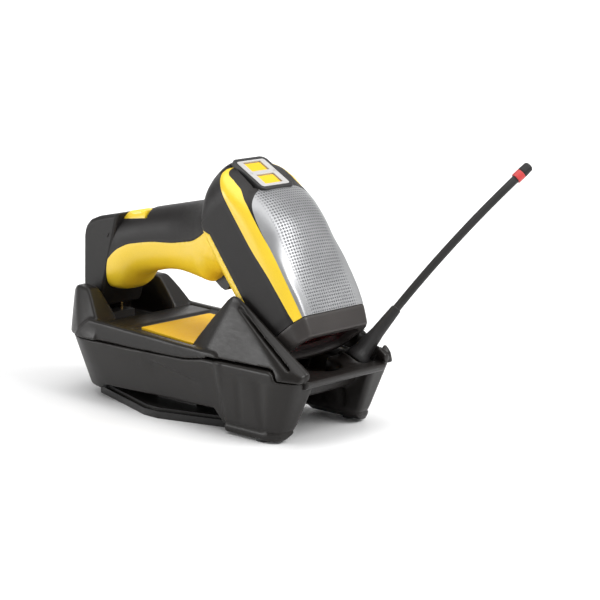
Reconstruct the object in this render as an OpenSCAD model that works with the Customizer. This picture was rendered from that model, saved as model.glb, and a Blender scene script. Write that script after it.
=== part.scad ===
// Cordless barcode scanner docked in its radio charging cradle.
// +X points to the cradle's nose end, +Z up. The origin is the centre of the bracket's
// four screw holes, on its underside, which lies on the desk.

/* [Cradle] */
// Half width of the cradle at its seam
cradle_half = 54; // [52:0.5:56]
// Height of the seam between the two cradle shells
seam_z = 44.6; // [43:0.1:46]
// X of the rear end of the cradle
rear_x = -112; // [-114:0.5:-111]
// Height of the front cheeks' peaks
cheek_z = 94; // [91:0.5:96]
// Wall of the cradle shells
wall = 2.4; // [2:0.1:2.8]

/* [Bracket] */
// Distance between screw holes along X
hole_x = 90; // [80:1:92]
// Distance between screw holes along Y
hole_y = 54; // [46:1:56]
// Radius of the screw holes
hole_r = 2.25; // [1.8:0.05:2.6]
// Thickness of the bracket plate
bracket_t = 7; // [5:0.5:8]

/* [Scanner head] */
// How far the docked head points down from level
head_pitch = 52; // [50:0.5:53]
// Half width of the head over its rubber sides
head_half = 36; // [34:0.5:36.5]
// Height of the head's crown over the lower edge of its rubber sides
crown = 62; // [59:0.5:63]
// Depth of the rubber overmould
rubber_t = 2.4; // [2:0.1:2.8]

/* [Handle] */
// Rise of the docked handle from level
handle_rise = 12; // [11:0.5:13]
// Half width of the grip at its narrowest
grip_half = 18.2; // [17:0.1:19]

/* [Antenna] */
// Length of the whip from its base to its tip
whip_length = 185; // [175:1:188]
// Diameter of the whip
whip_d = 5.8; // [5:0.1:6.4]

/* [Hidden] */
$fn = 48;
gap = 0.3;
slice = 0.1;

rubber = "#2b2826";
yellow = "#f5c92e";
silver = "#b9babb";
black = "#33302e";

// ---------- frames ----------
head_at = [80.4, 0, 62.8];
handle_at = [-85, 0, 105];

module in_head() translate(head_at) rotate([0, head_pitch, 0]) children();
module in_handle() translate(handle_at) rotate([0, -handle_rise, 0]) children();

// A profile drawn in a side view, x along the length and y up, spread evenly across the width
module side_cut(points, width = 140)
    rotate([90, 0, 0])
        linear_extrude(width, center = true) polygon(points);

// A thin upright section across the length at x
module slice_at(x, points)
    translate([x, 0, 0])
        rotate([90, 0, 90])
            linear_extrude(slice) polygon(points);

// A loft made of hulls between neighbouring sections
module chain_loft(xs, sections)
    for (i = [0 : len(xs) - 2])
        hull() {
            slice_at(xs[i], sections[i]);
            slice_at(xs[i + 1], sections[i + 1]);
        }

// Signed power, for superellipses
function spow(v, p) = sign(v) * pow(abs(v), p);

// ---------- cradle ----------
function mirror_y(half) = concat(half, [for (i = [len(half) - 1 : -1 : 0]) [half[i][0], -half[i][1]]]);

seam_outline = mirror_y([
    [rear_x, 22], [rear_x + 6, 34], [rear_x + 17, 45], [-80, cradle_half - 1], [-50, cradle_half],
    [66, cradle_half], [70, 30]
]);
keel_outline = mirror_y([[-92, 14], [-89, 26], [-80, 36], [-60, 42], [0, 46], [66, 47], [68, 30]]);
bay_outline = mirror_y([[64, 52], [120, 52], [127, 44], [129, 20]]);
bay_keel = mirror_y([[64, 36], [104, 36], [110, 28], [112, 14]]);
pod_top = [[62, 27], [62, cradle_half], [124, cradle_half], [134.6, 49.4], [136, 27]];
pod_knee = [[66.4, 31.5], [66.4, 49.8], [108, 49.8], [116.4, 45.6], [118, 31.5]];
pod_foot = [[67, 39], [67, 49], [106, 49], [113.6, 44.4], [114.6, 39]];
belly_profile = [
    [rear_x - 1, seam_z], [rear_x - 1, 26], [-97, 11.6], [-87, 7.3], [-66, 7.3], [-58, 11.5], [0, 14],
    [56, 15.5], [64, 6], [140, 0.8], [140, seam_z]
];
bay_z = 27;
foot_z = 1.4;
knee_z = 7;

module frustum(low, high, z0, z1, inset)
    hull() {
        translate([0, 0, z0]) linear_extrude(slice) offset(delta = -inset) polygon(low);
        translate([0, 0, z1 - slice]) linear_extrude(slice) offset(delta = -inset) polygon(high);
    }

module pods(inset, lift)
    for (side = [0, 1])
        mirror([0, side, 0]) {
            frustum(pod_foot, pod_knee, foot_z + lift, knee_z + lift, inset);
            frustum(pod_knee, pod_top, knee_z + lift - slice, seam_z + lift, inset);
        }

module hull_volume(inset = 0, lift = 0) {
    intersection() {
        frustum(keel_outline, seam_outline, 0, seam_z + lift, inset);
        translate([0, 0, lift]) side_cut(belly_profile);
    }
    frustum(bay_keel, bay_outline, bay_z + lift, seam_z + lift, inset);
    pods(inset, lift);
}

// Posts that take the screws between the shells
module screw_posts()
    intersection() {
        hull_volume();
        for (p = shell_screw_places) translate([p[0], p[1], 0]) cylinder(r = 5, h = 27);
    }

module cradle_lower_shell() color(black) {
    difference() {
        union() {
            difference() {
                hull_volume();
                hull_volume(wall, wall);
            }
            screw_posts();
        }
        for (p = foot_places) translate([p[0], p[1], -1]) cylinder(r = foot_r + 0.2, h = foot_z + 2.6);
        for (p = shell_screw_places) {
            translate([p[0], p[1], -1]) cylinder(r = 1.6, h = 30);
            translate([p[0], p[1], -1]) cylinder(r = 3.1, h = p[2] + 3.1);
        }
        for (y = hook_ys) translate([0, y, 5]) cylinder(r = 1.3, h = 14);
        jack_cuts();
        arch_cut();
    }
}

// Open arch between the pods, under the nose bay
module arch_cut()
    hull() {
        translate([113, -24, -1]) cube([30, 48, 30]);
        translate([113, -22, -1]) cube([30, 44, 38]);
    }

foot_r = 4.4;
foot_places = [[98, 44], [98, -44]];
shell_screw_places = [[-58, 33, 12.6], [-58, -33, 12.6], [54, 36, 16.2], [54, -36, 16.2]];

module rubber_feet() color("#1d1c1b")
    for (p = foot_places)
        translate([p[0], p[1], 0]) cylinder(r = foot_r, h = foot_z + 1.4);

// Rail height falls gently from the rear pocket to the front cheeks
deck_z = 54.4;
deck_tilt = 2.2;
module on_deck() translate([0, 0, deck_z]) rotate([0, deck_tilt, 0]) children();
rail_rear = 58;
rail_front = 54;
pocket_half = 27;
well_half = 38;
well_floor = 32.2;
cheek_out = 53;
cheek_top = 45;

module corner(p, r = 1.2) translate(p) sphere(r, $fn = 8);

// A solid through the given corner points, with small rounded edges
module block(points, r = 1.2)
    hull()
        for (p = points) corner(p, r);

module both_sides() {
    children();
    mirror([0, 1, 0]) children();
}

low = seam_z + 1.4;
module rail()
    block([
        [-84, 49, low], [66, 52.6, low], [66, 44, low], [-84, 42, low],
        [-70, 49.5, rail_rear], [60, 51.6, rail_front], [60, 46, rail_front], [-70, 45, rail_rear]
    ]);

module rear_cheek()
    block([
        [-110.6, 20, low], [-105, 33, low], [-94, 44, low], [-76, 51.6, low], [-62, 51.6, low],
        [-108, 20, 70], [-102, 33, 74], [-94, 38, 78.4], [-81, 40, 77.8], [-76, 42, 73.6], [-65, 47, 60],
        [-62, 48, 56], [-104, 28.4, low], [-62, 28.4, low], [-96, 29.6, 78.4], [-81, 31, 77.8], [-76, 31, 73.6],
        [-64, 30, 60]
    ]);

module rear_wall()
    block([
        [-110.6, -22, low], [-110.6, 22, low], [-109, -22, 68], [-109, 22, 68],
        [-108.4, -22, low], [-108.4, 22, low], [-107.8, 22, 68], [-107.8, -22, 68]
    ], 0.6);

module front_cheek()
    block([
        [46, cheek_out - 1, low], [118, cheek_out - 1, low], [132.6, 46.6, low],
        [50, cheek_out - 2, 54], [71, cheek_top - 3, cheek_z - 5], [74, cheek_top - 3.4, cheek_z - 5.6],
        [134, 45, 49], [121, 51, 49.6],
        [30, well_half + 4.6, 53.4], [132.6, well_half + 1.6, low], [134, well_half + 1.6, 50],
        [66, well_half + 2.2, cheek_z - 1.2], [71, well_half + 2, cheek_z - 1.2]
    ]);

// The wall on the antenna's side stands taller round the antenna's foot
module antenna_cheek()
    block([
        [112, 43, low], [132.6, 43, low], [133, 47.6, low], [118, 51.6, low], [112, 43, 66], [114, 47, 62],
        [124, 43.4, 62], [125, 47, 59.6], [132.4, 43.6, 54.4], [133, 46.6, 53]
    ]);

module crossbar()
    difference() {
        block([
            [98, -44, 39.4], [98, 44, 39.4], [133, -47, 39.4], [133, 47, 39.4],
            [98, -44, 45.4], [98, 44, 45.4], [135.4, -47, 45.4], [135.4, 47, 45.4]
        ]);
        translate([90, -50, 20]) cube([35, 100, 22]);
    }

module deck()
    on_deck()
        block([
            [-62, -44, -1.2], [-62, 44, -1.2], [66, -46, -1.2], [66, 46, -1.2]
        ]);

// Floor of the rear pocket, lower than the label deck
pocket_floor = 50;
module pocket_tray() {
    block([
        [-106, -30, pocket_floor - 1.2], [-106, 30, pocket_floor - 1.2],
        [-60, -44, pocket_floor - 1.2], [-60, 44, pocket_floor - 1.2]
    ]);
    block([
        [-62, -44, pocket_floor - 1.2], [-62, 44, pocket_floor - 1.2],
        [-60.4, -44, deck_z + 1], [-60.4, 44, deck_z + 1]
    ]);
}

module well_walls()
    difference() {
        block([
            [67, -39, well_floor - 1], [67, 39, well_floor - 1], [112, -30, well_floor - 1],
            [112, 30, well_floor - 1], [67, -39, 52], [67, 39, 52], [124, -39, 44], [124, 39, 44]
        ]);
        well_space();
    }

module well_space() {
    hull() {
        translate([68.4, 5 - well_half, well_floor]) cube([30, 2 * well_half - 10, 1]);
        translate([68.4, -well_half, 43]) cube([32, 2 * well_half, 1]);
    }
    translate([68.4, -well_half, 43.5]) cube([35, 2 * well_half, 60]);
    translate([64, -well_half, 58]) cube([80, 2 * well_half, 60]);
    hull() {
        translate([80, 0, well_floor + 1.8]) cylinder(r = 15, h = 40);
        translate([98, 0, well_floor + 1.8]) cylinder(r = 15, h = 40);
        translate([108, 0, 45]) cylinder(r = 15, h = 20);
    }
}

// The rear pocket, which takes the end of the handle
module pocket_space() {
    translate([-107.2, -pocket_half, pocket_floor]) cube([45, 2 * pocket_half, 60]);
}

module cradle_upper_shell() color(black) {
    difference() {
        union() {
            both_sides() {
                rail();
                rear_cheek();
                front_cheek();
            }
            antenna_cheek();
            rear_wall();
            crossbar();
            deck();
            pocket_tray();
            well_walls();
            antenna_boss();
        }
        both_sides() hollow_under_cheeks();
        well_space();
        pocket_space();
        plate_recess();
        antenna_line(-14) cylinder(r = 3.3, h = 30);
        antenna_line(0) cylinder(r = 9.6, h = 60);
        contact_cut();
        light_holes();
        jack_cuts();
        lower_walls();
        translate([-150, -100, -1]) cube([216.4, 200, seam_z + 1 + gap]);
        both_sides() translate([60, well_half + 2.1, -1]) cube([90, 40, seam_z + 1 + gap]);
    }
}

// Room that the lower shell's walls need under the seam
module lower_walls()
    difference() {
        translate([60, -60, -1]) cube([90, 120, seam_z + 1 + gap]);
        intersection() {
            frustum(bay_keel, bay_outline, bay_z + wall + gap, seam_z + wall + gap, wall + gap);
            translate([0, -100, 0]) cube([200, 200, 100]);
        }
    }

// Cheeks and rails are moulded hollow from below
module hollow_under_cheeks() {
    block([
        [-102, 31.6, low - 3], [-93, 40, low - 3], [-75, 47.4, low - 3], [-68, 47, low - 3],
        [-96, 32.6, 70], [-83, 36, 71], [-72, 37, 62], [-66, 32, low - 3]
    ]);
    block([
        [56, cheek_out - 5, low - 3], [112, cheek_out - 5, low - 3], [122, 44.4, low - 3],
        [71, cheek_top - 3.6, cheek_z - 8], [118, 44, 49], [57, well_half + 4.6, low - 3],
        [120, well_half + 4.6, low - 3], [71, well_half + 4.4, cheek_z - 9]
    ]);
}

plate_x = [-31, 50];
plate_t = 1.6;
plate_outline = mirror_y([[plate_x[0], 33.6], [plate_x[0] + 1, 34.6], [38, 38.4], [plate_x[1], 31]]);
module plate_recess()
    on_deck()
        translate([0, 0, -0.7])
            linear_extrude(20) offset(delta = 0.25) polygon(plate_outline);

module label_plate() color("#f2b52c")
    difference() {
        on_deck() translate([0, 0, -0.5]) linear_extrude(plate_t) polygon(plate_outline);
        light_holes();
    }

light_xs = [38, 44];
light_y = 26;
module light_holes()
    on_deck()
        for (x = light_xs) translate([x, light_y, -6]) cylinder(r = 1.75, h = 12);

module status_lights() color("#7fbf6a")
    on_deck()
        for (x = light_xs)
            translate([x, light_y, -5]) cylinder(r = 1.6, h = 6.6);

board_z = 30;
module cradle_board() color("#2f6b3f")
    translate([-62, -34, board_z]) cube([112, 68, 1.6]);

module radio_module() color("#c9cbce")
    translate([2, 6, board_z + 1.6]) cube([34, 22, 5]);

// Inlets on the side away from the desk's user
jack_x = -36;
port_x = -18;
jack_r = 3.2;
module jack_cuts() {
    translate([jack_x, 40, 34]) rotate([-90, 0, 0]) cylinder(r = 4.9, h = 30);
    translate([port_x - 7, 40, 29.5]) cube([14, 30, 10]);
}

module power_jack() color("#1e1e1e")
    difference() {
        translate([jack_x, 36, 34]) rotate([-90, 0, 0]) cylinder(r = 4.6, h = 13);
        translate([jack_x, 39, 34]) rotate([-90, 0, 0]) cylinder(r = jack_r, h = 20);
    }

module data_port() color("#c9cbce")
    difference() {
        translate([port_x - 6.6, 36, 29.9]) cube([13.2, 13, 9.2]);
        translate([port_x - 5.4, 39, 31.1]) cube([10.8, 20, 6.8]);
    }

contact_x = -96;
contact_y = 7;
block_top = 55;
module contact_cut()
    translate([contact_x - 7.3, -14.3, pocket_floor - 8]) cube([14.6, 28.6, 12]);

module contact_block() color("#232121")
    difference() {
        union() {
            translate([contact_x - 7, -14, pocket_floor - 4]) cube([14, 28, block_top - pocket_floor + 4]);
            translate([contact_x - 9, -16, pocket_floor - 5]) cube([18, 32, 2]);
        }
        for (y = [-contact_y, contact_y])
            translate([contact_x, y, pocket_floor - 10]) cylinder(r = pin_r + 0.05, h = 30);
    }

pin_r = 1.25;
pin_top = 60.6;
module contact_pin(y) color("#e0b85a")
    translate([contact_x, y, 0]) {
        translate([0, 0, pocket_floor - 2]) cylinder(r = pin_r, h = pin_top - pocket_floor + 0.8);
        translate([0, 0, pin_top - 1.2]) sphere(pin_r);
    }
module contact_pin_left() contact_pin(contact_y);
module contact_pin_right() contact_pin(-contact_y);

bracket_outline = mirror_y([[-84, 24], [-78, 31], [-8, 53.4], [6, 53.6], [57, 37.5], [62, 33]]);
bracket_step = mirror_y([[-81, 22], [-76, 28.4], [-8, 50.6], [5, 50.8], [55, 35], [59, 30]]);
hook_ys = [-24, 24];
module mounting_bracket() color("#262423")
    difference() {
        union() {
            linear_extrude(bracket_t - 2) polygon(bracket_outline);
            linear_extrude(bracket_t) polygon(bracket_step);
            for (y = hook_ys)
                translate([-20, y - 5, 1]) cube([40, 10, 11.8]);
        }
        for (y = hook_ys) {
            translate([0, y, -1]) cylinder(r = 1.3, h = 20);
            translate([0, y, -1]) cylinder(r = 3, h = 5.8);
        }
        for (x = [-hole_x / 2, hole_x / 2], y = [-hole_y / 2, hole_y / 2])
            translate([x, y, -1]) {
                cylinder(r = hole_r, h = 20);
                translate([0, 0, 4]) cylinder(r = 4.6, h = 20);
            }
        translate([-64, -12, 3]) cube([48, 24, 20]);
        translate([14, -12, 3]) cube([32, 24, 20]);
    }

module screw(head_r, head_h, shank_r, length, socket_r)
    difference() {
        union() {
            cylinder(r = head_r, h = head_h);
            translate([0, 0, head_h]) cylinder(r = shank_r, h = length);
        }
        translate([0, 0, -1]) cylinder(r = socket_r, h = head_h * 0.6 + 1, $fn = 6);
    }

// Screws that clamp the bracket's two hooks to the cradle's keel
module bracket_screws() color("silver")
    for (y = hook_ys)
        translate([0, y, 3.2]) screw(2.6, 1.6, 1.2, 13, 1.2);

module cradle_screws() color("silver")
    for (p = shell_screw_places)
        translate([p[0], p[1], p[2]]) screw(2.8, 2, 1.5, 11, 1.3);

// ---------- antenna ----------
antenna_at = [113.9, 30.3, 45];
antenna_yaw = 66.06;
antenna_rise = 47.86;
module antenna_line(start)
    translate(antenna_at)
        rotate([0, 0, antenna_yaw])
            rotate([0, 90 - antenna_rise, 0])
                translate([0, 0, start])
                    children();

module antenna_boss()
    intersection() {
        antenna_line(-5) cylinder(r = 10.4, h = 5.2);
        translate([60, 15, 30]) cube([80, 38, 40]);
    }
socket_r = 2.4;
module antenna_socket() color("#c7a657")
    antenna_line(-6.5) {
        cylinder(r = 3.2, h = 6);
        translate([0, 0, 6]) cylinder(r = socket_r, h = 8.5);
    }

boot_length = 47;
boot_base_r = 8.4;
boot_tip_r = 3.5;
module antenna_boot() color("#3a3838")
    antenna_line(0)
        difference() {
            rotate_extrude() polygon([
                [0, 1], [boot_base_r - 0.8, 1], [boot_base_r, 2.2], [boot_base_r, 5], [6.8, 9.5],
                [4.7, 26], [boot_tip_r + 0.2, boot_length - 1], [boot_tip_r, boot_length], [0, boot_length]
            ]);
            cylinder(r = socket_r + 0.06, h = 9);
            translate([0, 0, boot_length - 8]) cylinder(r = whip_d / 2, h = 20);
        }

// The whip droops outward along an arc that starts inside the boot
bow_r = 900;
bow_from = boot_length - 8;
tip_length = 15.5;
bow_angle = (whip_length - bow_from - tip_length) / bow_r * 180 / PI;
module at_whip_end()
    antenna_line(bow_from)
        translate([bow_r * (1 - cos(bow_angle)), 0, bow_r * sin(bow_angle)])
            rotate([0, bow_angle, 0])
                children();

module antenna_whip() color("#3c3b3c")
    antenna_line(bow_from)
        translate([bow_r, 0, 0])
            mirror([1, 0, 0])
                rotate([90, 0, 0])
                    rotate_extrude(angle = bow_angle + 0.3, $fn = 360)
                        translate([bow_r, 0]) circle(d = whip_d, $fn = 32);

module antenna_band() color("#c23a35")
    at_whip_end()
        translate([0, 0, 1.5]) difference() {
            cylinder(r = 3.9, h = 6);
            translate([0, 0, -1]) cylinder(d = whip_d, h = 5);
        }

module antenna_tip() color("#2d2c2c")
    at_whip_end()
        translate([0, 0, 7.5])
            rotate_extrude()
                polygon([[0, 0], [3.8, 0], [3.9, 1], [3.6, 6.8], [2.6, 7.9], [0, 8]]);

// ---------- scanner head ----------
dome_s = -120;
nose_s = 20;
bezel_s = 7;
mid_v = 27;
flank_v = 38;
belly_table = [[-121, 14], [-112, 7], [-104, 2], [-96, -1], [-60, -6], [-30, -4.4], [0, -1], [23, 1]];
crown_table = [[-121, 40], [-116, 41.5], [-108, 45], [-98, 49], [-91, 51.5], [-82, 56], [-72, 60],
    [-58, 60.8], [-40, 57.6], [-16, 52.4], [2, 48.8], [7, 47.6], [20, 43.6]];
// Squareness of the head's shoulders along its length
power_table = [[-121, 2.4], [-60, 2.4], [-20, 2.6], [4, 3.2], [23, 3.6]];
// How far the section has turned into the nose's flat-topped one, and half the width of its flat top
flat_table = [[-50, 0], [0, 1]];
flat_half_table = [[-50, 31], [7, 30], [20, 29]];
function dome_round(s) = s > -90 ? 1 : pow(max(0, 1 - pow((-90 - s) / 30, 2.2)), 1 / 2.2);
function head_w(s) = (s > 0 ? head_half - 2.2 * s / nose_s : head_half) * dome_round(s);
function end_round(s) = s > -105 ? 1 : pow(max(0, 1 - pow((-105 - s) / 15, 2.2)), 1 / 2.2);
function centre_v(s) = mid_v + max(0, (-100 - s) * 0.38);
function head_top(s) = centre_v(s) + (lookup(s, crown_table) + crown - 62 - centre_v(s)) * end_round(s);
function head_bottom(s) = centre_v(s) + (lookup(s, belly_table) - centre_v(s)) * end_round(s);

// Share of the lower half that stays upright, and the roundness under it
flank_table = [[-120, 0.02], [-100, 0.25], [-88, 0.55]];
under_table = [[-120, 1.8], [-100, 2], [-88, 2.3]];
section_steps = 7;
function arc_half(w, from, to, p, steps) = [
    for (i = [1 : steps])
        let (a = 90 * i / steps)
            [w * spow(cos(a), 2 / p), from + (to - from) * spow(sin(a), 2 / p)]
];
// Leaning side and flat top between the flank and the centre line, evened out to the arc's steps
function flat_half(w, from, to, half) = [
    [w - 0.3 * (w - half), from + (to - from) * 0.36],
    [half + 1.5, to - 2.9],
    [half + 0.5, to - 1.2],
    [half - 1.4, to - 0.2],
    [half * 0.7, to - 0.06],
    [half * 0.36, to],
    [0, to]
];
function head_arc(s, w, from, to, inset) =
    let (
        k = lookup(s, flat_table),
        arc = arc_half(w, from, to, lookup(s, power_table), section_steps),
        flat = flat_half(w, from, to, lookup(s, flat_half_table) - inset)
    )
    [for (i = [0 : section_steps - 1]) arc[i] * (1 - k) + flat[i] * k];
function head_section(s, inset) =
    let (
        w = max(0.5, head_w(s) - inset),
        c = centre_v(s),
        top = max(c + 0.6, head_top(s) - inset),
        bottom = min(c - 0.6, head_bottom(s) + inset),
        high = min(flank_v, c + (top - c) * 0.5),
        lowest = min(max(boot_low, c - (c - bottom) * lookup(s, flank_table)), c - 0.3),
        right = concat(
            [[w, lowest], [w, high]],
            head_arc(s, w, high, top, inset)
        ),
        under = concat([[w, lowest]], arc_half(w, lowest, bottom, lookup(s, under_table), section_steps))
    )
    concat(
        [for (i = [len(under) - 1 : -1 : 1]) under[i]],
        right,
        [for (i = [len(right) - 2 : -1 : 0]) [-right[i][0], right[i][1]]],
        [for (i = [1 : len(under) - 2]) [-under[i][0], under[i][1]]]
    );

head_stations = [-120, -119.2, -117.6, -115, -111, -106, -100, -94, -88, -80, -70, -58, -40, -24, -8, 7, 20];
module head_solid(inset) {
    xs = [for (s = head_stations) max(dome_s + inset, s)];
    n = len(xs);
    keep = [for (i = [0 : n - 1]) if (i == n - 1 || xs[i + 1] > xs[i] + 0.01) xs[i]];
    chain_loft(keep, [for (s = keep) head_section(s - (s < -90 ? inset * (-90 - s) / 30 : 0), inset)]);
}

stripe_low = [[-112.4, 40.6], [-110.5, 38.8], [-104, 38], [-80, 37.6], [-56, 37.8], [-26, 40], [4.4, 40.4]];
stripe_high = [[6.4, 46.1], [1, 46.9], [-19, 49], [-36, 49.8], [-50, 49.8], [-74, 49.6], [-84, 48.6], [-92, 47.5],
    [-100, 45.2], [-108, 42.2], [-111.6, 41]];
stripe_outline = concat(stripe_low, stripe_high);
cover_outline = [[6.4, 46.4], [6.4, 80], [-90.4, 80], [-90.4, 51.4], [-88, 52.1], [-84, 52.3], [-80, 51.8], [-64, 50.5], [-50, 50.1],
    [-36, 50.1], [-19, 49.3], [1, 47.2]];
boot_low = 10.6;
boot_outline = concat(
    [[6.4, boot_low], [6.4, 40.1]], [for (i = [len(stripe_low) - 1 : -1 : 0]) stripe_low[i] + [-0.1, -0.3]],
    [
        [-111.8, 41.3], [-108, 42.5], [-100, 45.5], [-92, 47.8], [-84, 48.9], [-74, 49.9], [-64, 50.2],
        [-80, 51.4], [-84, 51.9], [-88.2, 51.7], [-90.8, 51], [-90.8, 80], [-130, 80], [-130, -16], [-96, -16], [-88, 3],
        [-82, boot_low]
    ]
);

module skin(from, to)
    difference() {
        head_solid(from);
        head_solid(to);
    }

module keypad_cut(grow)
    keypad_place()
        translate([0, 0, -9])
            linear_extrude(30) offset(delta = grow) keypad_shape();

module top_cover() color(silver)
    in_head()
        difference() {
            intersection() {
                skin(0, 2);
                side_cut(cover_outline);
            }
            keypad_cut(gap);
        }

module head_boot() color(rubber)
    in_head()
        difference() {
            intersection() {
                skin(0, rubber_t);
                difference() {
                    side_cut(boot_outline);
                    side_cut([[-117, 80], [-117, 42], [-86, 42], [-86, 80]], 20);
                }
            }
            keypad_cut(gap);
            handle_space();
        }

module head_housing() color(yellow)
    in_head()
        difference() {
            union() {
                intersection() {
                    skin(rubber_t + gap, rubber_t + 2.4);
                    side_cut([[6.4, -30], [6.4, 44], [-60, 47.6], [-130, 49.6], [-130, -30]]);
                }
                intersection() {
                    skin(0.1, rubber_t + 0.8);
                    side_cut(stripe_outline);
                }
            }
            keypad_cut(gap);
            rotate([0, -head_pitch, 0]) translate(-head_at) trigger_slot(0);
            for (p = housing_screw_places) {
                translate([p[0], p[1], -12]) cylinder(r = 1.3, h = 30);
                translate([p[0], p[1], -12]) cylinder(r = 2.6, h = 11.9);
            }
        }

// The grip runs into the head here
module handle_space()
    rotate([0, -head_pitch, 0])
        translate(-head_at)
            in_handle()
                chain_loft([30, 118], [handle_section(70, -gap), handle_section(118, -gap)]);

module nose_bezel() color("#4b4644")
    in_head()
        difference() {
            intersection() {
                head_solid(0);
                side_cut([[bezel_s, -20], [bezel_s, 80], [nose_s, 80], [nose_s, -20]]);
            }
            translate([-60, 0, 0]) nose_bore(6);
        }

module nose_bore(inset)
    hull() {
        slice_at(0, head_section(0, inset));
        slice_at(100, head_section(20, inset));
    }

window_s = 13.5;
module window_seal() color("#151414")
    in_head()
        intersection() {
            translate([-60, 0, 0])
                difference() {
                    nose_bore(6.4);
                    nose_bore(9.5);
                }
            side_cut([[window_s - 1.5, -20], [window_s - 1.5, 80], [window_s - 0.2, 80], [window_s - 0.2, -20]]);
        }

module scan_window() color([0.5, 0.1, 0.1, 0.5])
    in_head()
        intersection() {
            translate([-60, 0, 0]) nose_bore(6.6);
            side_cut([[window_s, -20], [window_s, 80], [window_s + 2, 80], [window_s + 2, -20]]);
        }

// ---------- keypad ----------
key_slope = 23;
module keypad_place()
    translate([-101.4, 0, 46.2])
        rotate([0, -key_slope, 0])
            children();
module keypad_shape() offset(r = 5) square([25, 23], center = true);
key_size = [10.5, 17];
rear_key = -7.6;
front_key = 6.8;
keypad_screw_y = 11.2;

module keypad_rim() color("#191817")
    in_head() keypad_place()
        difference() {
            translate([0, 0, -4.5]) linear_extrude(7) keypad_shape();
            translate([0, 0, -6]) linear_extrude(20) offset(delta = -2.6) keypad_shape();
        }

module keypad_frame() color("#c2c3c4")
    in_head() keypad_place()
        difference() {
            translate([0, 0, -4]) linear_extrude(6.2) offset(delta = -2.9) keypad_shape();
            for (x = [rear_key, front_key])
                translate([x, 0, -6])
                    linear_extrude(20) square(key_size, center = true);
            for (y = [-keypad_screw_y, keypad_screw_y])
                translate([-0.4, y, -5]) cylinder(r = 0.85, h = 20);
        }

module keypad_screws() color("silver")
    in_head() keypad_place()
        for (y = [-keypad_screw_y, keypad_screw_y])
            translate([-0.4, y, -4.6]) cylinder(r = 0.8, h = 7);

module key(x, shade) color(shade)
    in_head() keypad_place()
        translate([x, 0, -3.6])
            linear_extrude(5) square(key_size - [0.8, 0.8], center = true);
module key_rear() key(rear_key, "#eebb2a");
module key_front() key(front_key, "#f2c02c");

// ---------- handle ----------
grip_top = 24.8;
grip_bottom = [[-24, -23], [-12, -28], [-2, -31.2], [5, -32], [11, -30.2], [17, -26], [23, -22.8], [32, -21.4], [45, -21],
    [60, -22.6], [72, -26], [85, -30.6], [95, -33.6], [101, -32], [108, -29], [118, -28]];
grip_width = [[-24, 20.4], [0, 21], [14, 20.6], [30, 19], [48, 18.2], [66, 18.6], [82, 20.6], [100, 25], [118, 30]];
grip_power = [[-24, 0.55], [0, 0.6], [30, 0.82], [118, 0.82]];
handle_stations = [-22, -10, -2, 5, 11, 17, 23, 32, 45, 60, 76, 95, 104, 118];
function handle_section(u, inset) =
    let (
        w = lookup(u, grip_width) + grip_half - 18.2 - inset,
        top = grip_top - inset,
        bottom = lookup(u, grip_bottom) + inset,
        c = (top + bottom) / 2,
        h = (top - bottom) / 2,
        low_power = lookup(u, grip_power)
    )
    [for (i = [0 : 27])
        let (a = i * 360 / 28, p = i > 14 ? low_power : 0.82) [w * spow(cos(a), p), c + h * spow(sin(a), p)]];

module handle_solid(inset)
    chain_loft(handle_stations, [for (u = handle_stations) handle_section(u, inset)]);

split_line = [[-7, -28], [-1.6, -13], [6, -6], [16, -1.2], [28, 1], [45, 0.6], [75, -2.4], [94, -2.6], [108, -0.2], [118, 3.4]];

module handle_shell(region)
    difference() {
        intersection() {
            difference() {
                in_handle() handle_solid(0);
                in_handle() handle_solid(2.5);
            }
            in_handle() side_cut(region);
        }
        in_head() head_solid(rubber_t - 0.2);
        translate([gap, 0, 0]) side_cut(behind_cap);
        trigger_slot(0);
        latch_space();
        latch_dish();
    }

module handle_front() color(yellow)
    handle_shell(concat(split_line, [[118, -60], [-7, -60]]));

module handle_back() color(rubber)
    handle_shell(concat([[-30, 60], [-30, -28], [-7.4, -28]], [for (p = split_line) p + [0, gap]], [[118, 60]]));

// The end cap's outline in the world's side view
cap_low = 61;
cap_outline = [[-106, cap_low], [-106.6, 80], [-106.4, 113.6], [-104.6, 120], [-99.6, 125], [-90, 128.6], [-69, 132.8],
    [-88.4, 84], [-89.2, cap_low]];
behind_cap = [[-140, 50], [-140, 150], [-62.2, 150], [-68.7, 132.8], [-88.1, 84], [-88.9, cap_low], [-89, 50]];
module cap_volume(inset)
    hull() {
        side_cap(inset, 38);
        side_cap(inset + 2.2, 42.6);
    }
module side_cap(inset, width)
    rotate([90, 0, 0])
        linear_extrude(width - 2 * inset, center = true)
            offset(delta = -inset) polygon(cap_outline);

module battery_cap() color("#262322")
    difference() {
        intersection() {
            cap_volume(0);
            side_cut(behind_cap);
        }
        translate([7, 0, 0]) cap_volume(2.4);
        translate([contact_x - 6.3, -10.5, cap_low - 8]) cube([12.6, 21, 9.4]);
    }

module battery_pack() color("#3d5a8a")
    in_handle()
        translate([-6, 0, 2])
            rotate([0, 90, 0]) cylinder(r = 9.3, h = 68);

module battery_contacts() color("#d8b45a")
    in_handle()
        for (y = [-5, 5])
            translate([62.3, y - 1.5, -1]) cube([3, 3, 6]);

module charge_pads() color("#d8b45a")
    for (y = [-contact_y, contact_y])
        translate([contact_x - 3, y - 2, pin_top + 0.4]) cube([6, 4, 1.4]);

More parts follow.
